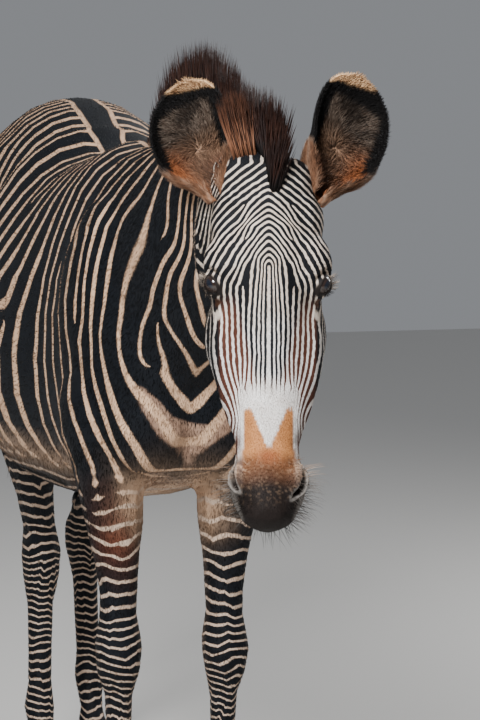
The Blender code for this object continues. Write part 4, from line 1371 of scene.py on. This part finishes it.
# The hair runs down the face and up the brow from the whorl, back along the body and down the legs
def lieAt(points, normals):
    head = toHead(points)
    side, down, out = head.T
    radial = np.column_stack([side * 0.8, down - whorl["down"], np.zeros(len(head))])
    onFace = unitRows(radial + (0, 0.010, 0))
    onCheek = np.column_stack([np.sign(side) * 0.2, np.full(len(head), 0.7), np.full(len(head), -1.0)])
    cheek = smooth(whorl["cheekFrom"], whorl["cheekTo"], -out)[:, None]
    headLie = (onFace * (1 - cheek) + onCheek * cheek) @ headTurn
    x, y, z = points.T
    onLeg = 1 - smooth(0.74, 0.95, z)
    onNeck = 1 - smooth(-0.40, -0.15, y)
    onRump = smooth(0.55, 0.85, y)
    back, drop = 1 - 0.35 * onNeck - 0.8 * onRump, -0.25 - 0.7 * onNeck - 0.9 * onRump
    bodyLie = np.column_stack([np.zeros(len(x)), back, drop])
    bodyLie = bodyLie * (1 - onLeg[:, None]) + np.array([0, 0.12, -1.0]) * onLeg[:, None]
    lie = np.where(isHead(head)[:, None] > 0.5, headLie, bodyLie)
    return unitRows(lie - normals * (lie * normals).sum(1)[:, None])


# An unwrap round an axis: the turn about it and the way along it fill the square
def wrapRound(turn, along, low, high):
    u = 0.01 + 0.98 * (turn / (2 * math.pi) + 0.5)
    v = 0.01 + 0.98 * np.clip((along - low) / (high - low), 0, 1)
    return np.column_stack([u, v, np.zeros(len(u))])


furLengths = {
    "face": 0.0046,
    "cheek": 0.009,
    "muzzle": 0.0032,
    "leg": 0.008,
    "body": 0.012,
    "belly": 0.016,
    "neck": 0.011,
    "lash": 0.020,
}
tailHair = {"from": 0.985, "end": 0.606, "behind": 1.00, "beside": 0.050, "side": -0.018}
lowestFur = 0.058


# Where no fur grows round the eyes and nostrils, where the lashes stand and which way they fan out
def eyeFur(points, head):
    noFur, lash, lashLie = np.zeros(len(points)), np.zeros(len(points)), np.zeros((len(points), 3))
    for name, sign in sides:
        offset = points - middle("eye_" + name)
        gaze, along, upward = eyeAxes(sign)
        near = np.linalg.norm(offset, axis=1) < 0.045
        oval = np.hypot(offset @ along / eyeLook["long"], offset @ upward / eyeLook["upper"])
        noFur = np.maximum(noFur, (1 - smooth(1.15, 1.45, oval)) * near)
        noFur = np.maximum(noFur, 1 - smooth(1.0, 1.3, nostrilSpot(head, sign)))
        lash = np.maximum(lash, (oval > 1.0) * (oval < 1.22) * (offset @ upward > 0.002) * near)
        fan = gaze + np.outer(np.clip(offset @ along / 0.02, -1, 1) * 0.5, along) - upward * 0.15
        lashLie = np.where(near[:, None], unitRows(np.broadcast_to(fan, lashLie.shape)), lashLie)
    return noFur, lash, lashLie


# How long the fur is at each place
def furLengthAt(head, points, onHead, onTail):
    down, out = head[:, 1], head[:, 2]
    y, z = points[:, 1], points[:, 2]
    face = furLengths["face"] + (furLengths["cheek"] - furLengths["face"]) * smooth(0.03, 0.14, -out)
    face = face + (furLengths["muzzle"] - face) * smooth(0.44, 0.54, down)
    body = furLengths["body"] + (furLengths["neck"] - furLengths["body"]) * (1 - smooth(-0.4, -0.15, y))
    body += (furLengths["belly"] - body) * (1 - smooth(0.78, 0.90, z))
    body += (furLengths["leg"] - body) * (1 - smooth(0.66, 0.82, z))
    length = np.where(onHead, face, body)
    return np.where(onTail > 0, np.clip(z - tailHair["end"], 0.02, 0.16), length)


def prepareCoat():
    mesh = skinObject.data
    points, normals = vertexArray(mesh), vertexArray(mesh, "normal")
    head = toHead(points)
    side, down, out = head.T
    x, y, z = points.T
    count = len(points)
    start = count - sum(len(ear["across"]) for ear in ears.values())
    onEar = np.arange(count) >= start
    onHead = (isHead(head) > 0.5) & ~onEar
    offHead = (isHead(head) <= 0.5) & ~onEar
    noFur, lash, lashLie = eyeFur(points, head)
    onTail = offHead * (y > tailHair["behind"]) * (z < tailHair["from"]) * (z > tailHair["end"] - 0.01)
    onTail = onTail * (np.abs(x - tailHair["side"]) < tailHair["beside"])
    offTail = onTail == 0
    regions = {
        "furFace": onHead * (out > -0.095),
        "furCheek": onHead * (out <= -0.095),
        "furNeck": offHead * (y < -0.20) * (z > 0.74),
        "furTrunk": offHead * (y >= -0.20) * (z > 0.72) * offTail,
        "furForeleg": offHead * (y < 0.20) * (z <= 0.74),
        "furHindleg": offHead * (y >= 0.20) * (z <= 0.72) * offTail,
        "furTail": onTail,
    }
    furred = (1 - noFur) * (z > lowestFur)
    regions = {name: share * furred for name, share in regions.items()}
    regions["furLash"] = lash
    lips = onHead * smooth(0.50, 0.56, down)
    lips = lips * smooth(0.02, 0.05, np.abs(side) + 0.7 * smooth(-0.07, -0.12, out) * 0.05)
    regions["furWhisker"] = lips * (nostrilSpot(head, 1) > 1.5) * (nostrilSpot(head, -1) > 1.5)
    turnFore, turnHind = np.arctan2(np.abs(x) - 0.10, y + 0.28), np.arctan2(np.abs(x) - 0.09, y - 0.86)
    turnLeg = np.where(y < 0.25, turnFore, turnHind)
    unwraps = {
        "mapHead": wrapRound(np.arctan2(side, out + 0.10), down, -0.06, 0.64),
        "mapNeck": wrapRound(np.arctan2(x, z - 1.10), y, -0.95, -0.18),
        "mapTrunk": wrapRound(np.arctan2(x, z - 1.02), y, -0.22, 1.10),
        "mapLeg": wrapRound(turnLeg * 0.49 + np.sign(x) * math.pi / 2, z, 0.04, 0.76),
        "mapTail": wrapRound(np.arctan2(x, y - 1.05), z, 0.58, 1.0),
    }
    length = furLengthAt(head, points, onHead, onTail)
    lie = np.where(onTail[:, None] > 0, unitRows(normals * 0.12 + (0, 0, -1)), lieAt(points, normals))
    earMap = np.zeros((count, 3))
    inside, above = np.zeros(count), np.zeros(count)
    for name, ear in ears.items():
        part = slice(start, start + len(ear["across"]))
        start = part.stop
        lie[part], length[part] = earLie(name, ear, normals[part])
        inside[part] = ear["inner"]
        above[part] = ear["height"] > -0.014
        u = 0.01 + 0.235 * (ear["across"] + 1) + (0.50 if name == "left" else 0.0)
        v = 0.01 + 0.48 * np.clip(ear["height"] / 0.205, 0, 1) + 0.5 * ear["inner"]
        earMap[part] = np.column_stack([u, v, np.zeros(len(u))])
    regions["furEarInside"], regions["furEarBack"] = above * inside, above * (1 - inside)
    unwraps["mapEar"] = earMap
    for name, share in regions.items():
        floatLayer(mesh, name, share)
    for name, places in unwraps.items():
        vectorLayer(mesh, name, places)
    vectorLayer(mesh, "lie", lie)
    # how far the pattern moves on from a tuft's root to its tip
    tips = points + lie * length[:, None] * 0.86
    for letter, at, on in zip("AB", phasesAt(points, isHead(head) > 0.5), phasesAt(tips, isHead(head) > 0.5)):
        floatLayer(mesh, "drift" + letter, np.where(onEar | (onTail > 0), 0, on - at))
    floatLayer(mesh, "streak", np.where(onEar, 0.35 + 0.65 * inside, 0.22))
    outward = np.column_stack([side * 9, np.full(count, 0.35), np.full(count, -0.1)]) @ headTurn
    vectorLayer(mesh, "lieWhisker", unitRows(outward + normals * 1.2))
    vectorLayer(mesh, "lieLash", lashLie)
    floatLayer(mesh, "furLength", np.where(regions["furLash"] > 0, furLengths["lash"], length))


# Inside an ear the hair fans out from the middle, and on its back it runs up to the rim
def earLie(name, ear, normals):
    up, front, outward = earFrame(name)[1:]
    across, height, inner = ear["across"], ear["height"], ear["inner"]
    wide = np.sin(ear["turn"]) * 0.065
    radial = unitRows(np.column_stack([wide, height - 0.075]) + (1e-4, 0))
    swirl = np.column_stack([radial[:, 0] + 0.5 * radial[:, 1], radial[:, 1] - 0.5 * radial[:, 0]])
    low = (1 - smooth(0.03, 0.08, height))[:, None]
    fan = swirl * (1 - low) + np.array([0.55, 0.9]) * low
    within = np.outer(fan[:, 0], outward) + np.outer(fan[:, 1], up) + front * 0.25
    behind = up + np.outer(np.sin(ear["turn"]) * 0.7, outward) + front * 0.25
    lie = np.where(inner[:, None] > 0.5, within, behind)
    rim = smooth(0.62, 0.92, np.abs(across))
    capped = smooth(0.160, 0.180, height)
    length = np.where(inner > 0.5, 0.020 - 0.010 * rim - 0.008 * capped, 0.009 - 0.003 * capped)
    length += inner * 0.012 * (1 - smooth(0.020, 0.060, height)) * (across < 0.2)
    length += (1 - inner) * 0.012 * (1 - smooth(0.040, 0.075, height)) * (np.abs(across) > 0.5)
    return unitRows(lie - normals * (lie * normals).sum(1)[:, None] * 0.9), length


# Density is in tufts for each square metre, width in metres, lift and scatter in degrees;
# length multiplies the fur's own length, and shortest is the share that the shortest tufts keep
def coatPiece(region, unwrap, tuft, density, width, lift, scatter, seed, length=1.0, lie="lie", shortest=0.6):
    return {
        "region": region, "unwrap": unwrap, "tuft": tuft, "density": density, "width": width, "lift": lift,
        "scatter": scatter, "seed": seed, "length": length, "lie": lie, "shortest": shortest,
    }


coatPieces = {
    "coat_face": coatPiece("furFace", "mapHead", "short", 235000, 0.0015, 3, 9, 11),
    "coat_cheeks": coatPiece("furCheek", "mapHead", "short", 150000, 0.0020, 4, 10, 12),
    "coat_neck": coatPiece("furNeck", "mapNeck", "short", 52000, 0.0026, 3, 7, 13),
    "coat_trunk": coatPiece("furTrunk", "mapTrunk", "short", 20800, 0.0037, 3, 7, 14),
    "coat_forelegs": coatPiece("furForeleg", "mapLeg", "short", 75000, 0.0022, 4, 9, 15),
    "coat_hindlegs": coatPiece("furHindleg", "mapLeg", "short", 60000, 0.0024, 4, 9, 16),
    "ear_hair": coatPiece("furEarInside", "mapEar", "curved", 262000, 0.0014, 12, 26, 17),
    "ear_backs": coatPiece("furEarBack", "mapEar", "short", 330000, 0.0015, 10, 14, 18),
}
prepareCoat()
furMaterial = coatMaterial("zebraCoat", True)
for name, settings in coatPieces.items():
    growTufts(name, skinObject, settings, furMaterial)


# Mane: standing locks along the crest, from behind the withers to the forelock.
# Both beds run along the crest: side, along, height of the tips, share of the width
beds = {
    "mane_locks": {"halfWidth": 0.019, "columns": 9, "rows": 170, "path": (
        (-0.001, -0.140, 1.436, 0.35),
        (-0.001, -0.210, 1.486, 0.70),
        (-0.001, -0.290, 1.541, 0.90),
        (0.000, -0.380, 1.590, 1.00),
        (0.005, -0.470, 1.622, 1.00),
        (0.013, -0.550, 1.628, 1.00),
        (0.025, -0.640, 1.606, 1.00),
        (0.040, -0.720, 1.582, 1.00),
        (0.054, -0.790, 1.566, 1.00),
        (0.063, -0.840, 1.562, 0.95),
        (0.066, -0.875, 1.550, 0.80),
        (0.064, -0.900, 1.515, 0.65),
        (0.061, -0.920, 1.470, 0.40),
    )},
    "side_lock": {"halfWidth": 0.018, "columns": 27, "rows": 36, "path": (
        (0.034, -0.785, 1.560, 0.80),
        (0.030, -0.810, 1.560, 1.00),
        (0.026, -0.835, 1.556, 1.10),
        (0.023, -0.858, 1.548, 1.15),
    )},
}
bedDepth = {"sunk": 0.004, "above": 1.75, "shortest": 0.015, "sideDrop": 0.012}
maneColours = {
    "dark": (0.009, 0.006, 0.006),
    "red": (0.060, 0.024, 0.015),
    "tan": (0.165, 0.066, 0.036),
    "pale": (0.300, 0.200, 0.140),
    "black": (0.007, 0.006, 0.006),
    "brown": (0.022, 0.012, 0.009),
    "lockRoot": (0.230, 0.104, 0.058),
}


# A thin sheet just below the skin, for the hair to stand on, and how long the hair is
def makeBed(name):
    bedShape = beds[name]
    rows = curveThrough(bedShape["path"], bedShape["rows"])
    across = np.linspace(-1, 1, bedShape["columns"])
    bed, tall = [], []
    for x, y, tip, share in rows:
        for a in across:
            place = (x + a * share * bedShape["halfWidth"], y)
            hit = skinTree.ray_cast(Vector((*place, bedDepth["above"])), Vector((0, 0, -1)))[0]
            height = (hit.z if hit else tip - 0.1) - bedDepth["sunk"]
            bed.append((*place, height))
            tall.append(max(tip - bedDepth["sideDrop"] * a * a - height, bedDepth["shortest"]))
    mesh = gridMesh(name, np.array(bed).reshape(len(rows), len(across), 3), closed=False)
    share = np.repeat(np.linspace(0, 1, len(rows)), len(across))
    return mesh, share, np.tile(across, len(rows)), np.array(tall)


def hairTint(count, base, tint, share):
    return mixColours(np.tile(np.array(maneColours[base]), (count, 1)), maneColours[tint], share)


def dressBed(name, mesh, share, side, tall):
    points = vertexArray(mesh)
    count = len(points)
    marked = unmarked(count)
    if name == "mane_locks":
        band = smooth(-0.25, 0.25, np.cos(bodyPhase(points) * 2 * math.pi))
        root = hairTint(count, "black", "pale", band * (1 - smooth(0.60, 0.72, share)))
        tip = hairTint(count, "dark", "red", 0.35 * band + 0.15)
        aside = side * 0.12 + 0.16 * smooth(0.75, 0.9, share)
        ahead = -0.10 + 0.22 * share - 0.45 * smooth(0.88, 1, share)
    else:
        comb = smooth(0.10, 0.8, np.cos(side * 2 * math.pi * 2.8 + 0.6))
        root = hairTint(count, "lockRoot", "black", comb * 0.9)
        tip = hairTint(count, "brown", "tan", 0.45 * (1 - comb))
        marked["duty"] = 0.5 + 0.22 * (1 - comb)
        aside, ahead = side * 0.10 - 0.20, np.full(count, 0.05)
    storeMarks(mesh, marked | {"pale": root, "dark": tip})
    vectorLayer(mesh, "lie", unitRows(np.column_stack([aside, ahead, np.ones(count)])))
    floatLayer(mesh, "furLength", tall)
    floatLayer(mesh, "furBed", np.ones(count))
    vectorLayer(mesh, "mapBed", np.column_stack([0.01 + 0.98 * share, 0.5 + 0.48 * side, np.zeros(count)]))
    return addObject(name + "_bed", mesh)


# Long hair: the root's colour runs out into the tip's, and each lock has its own tone
def hairMaterial():
    n = Nodes("longHair")
    place = n.add("TexCoord").outputs["Object"]
    along = n.attribute("along")
    wave = n.math("MULTIPLY", n.math("SUBTRACT", n.noise(60, 2, place), 0.5), 0.3)
    reach = n.math("SUBTRACT", along, n.math("SUBTRACT", n.attribute("duty"), 0.5))
    share = n.ramp(n.math("ADD", reach, wave), 0.15, 0.62)
    colour = n.mix(share, n.attribute("pale", "Color"), n.attribute("dark", "Color"))
    tone = n.math("MULTIPLY", n.attribute("tone"), 0.55)
    colour = n.mix(tone, colour, (0.42, 0.34, 0.30, 1), "MULTIPLY")
    return n.finish(colour, Roughness=0.48, Specular_IOR_Level=0.14)


hair = hairMaterial()
bedObjects = {name: dressBed(name, *makeBed(name)) for name in beds}
hairPieces = {
    "mane_locks": coatPiece("furBed", "mapBed", "lock", 200000, 0.0026, 4, 7, 31),
    "side_lock": coatPiece("furBed", "mapBed", "lock", 260000, 0.0022, 3, 6, 35, shortest=0.70),
    "tail_hair": coatPiece("furTail", "mapTail", "lock", 70000, 0.0028, 5, 5, 32),
    "whiskers": coatPiece("furWhisker", "mapHead", "whisker", 22000, 0.0007, 8, 24, 33,
                          13.0, "lieWhisker", 0.25),
    "lashes": coatPiece("furLash", "mapHead", "whisker", 500000, 0.0006, 4, 10, 34,
                        1.0, "lieLash", 0.55),
}
for name, settings in hairPieces.items():
    material = hair if settings["tuft"] == "lock" else furMaterial
    made = growTufts(name, bedObjects.get(name, skinObject), settings, material)
    if name == "mane_locks":
        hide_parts("mane")
for helper in list(bedObjects.values()) + list(tufts.values()):
    bpy.data.objects.remove(helper)
for spare in [a.name for a in skinObject.data.attributes if a.name.startswith(("fur", "map", "lie"))]:
    skinObject.data.attributes.remove(skinObject.data.attributes[spare])
print("hair grown")


# Floor, light and camera
stage = {
    "floor": (0.55, 0.54, 0.52, 1),
    "floorHalf": 9,
    "sky": (0.80, 0.83, 0.88, 1),
    "skyStrength": 0.30,
    "lights": {
        "key": {"place": (-2.3, -4.4, 3.9), "aim": (0, -0.8, 1.1), "size": 1.5, "power": 600},
        "rim": {"place": (2.8, 1.8, 3.0), "aim": (0, 0.2, 1.1), "size": 2.4, "power": 150},
    },
}
cameraView = {"place": (-1.487, -7.6225, 1.92), "turn": 12.5, "dip": 6.8, "lens": 200, "sensor": 36}


def makeStage():
    reach = (-stage["floorHalf"], stage["floorHalf"])
    corners = np.array([[(x, y, 0) for x in reach] for y in reach])
    floor = addObject("floor", gridMesh("floor", corners, closed=False))
    paint = bpy.data.materials.new("floorPaint")
    paint.use_nodes = True
    paint.node_tree.nodes["Principled BSDF"].inputs["Base Color"].default_value = stage["floor"]
    floor.data.materials.append(paint)
    world = bpy.data.worlds.new("studio")
    bpy.context.scene.world = world
    world.use_nodes = True
    world.node_tree.nodes["Background"].inputs["Color"].default_value = stage["sky"]
    world.node_tree.nodes["Background"].inputs["Strength"].default_value = stage["skyStrength"]
    for name, lamp in stage["lights"].items():
        light = bpy.data.lights.new(name, "AREA")
        light.size, light.energy = lamp["size"], lamp["power"]
        obj = addObject(name, light)
        obj.location = lamp["place"]
        aim = Vector(lamp["aim"]) - Vector(lamp["place"])
        obj.rotation_euler = aim.to_track_quat("-Z", "Y").to_euler()


def makeCamera():
    turn, dip = math.radians(cameraView["turn"]), math.radians(cameraView["dip"])
    look = Vector((math.sin(turn) * math.cos(dip), math.cos(turn) * math.cos(dip), -math.sin(dip)))
    camera = bpy.data.cameras.new("camera")
    camera.lens, camera.sensor_width = cameraView["lens"], cameraView["sensor"]
    obj = addObject("camera", camera)
    obj.location = cameraView["place"]
    obj.rotation_euler = look.to_track_quat("-Z", "Y").to_euler()
    bpy.context.scene.camera = obj


makeStage()
makeCamera()
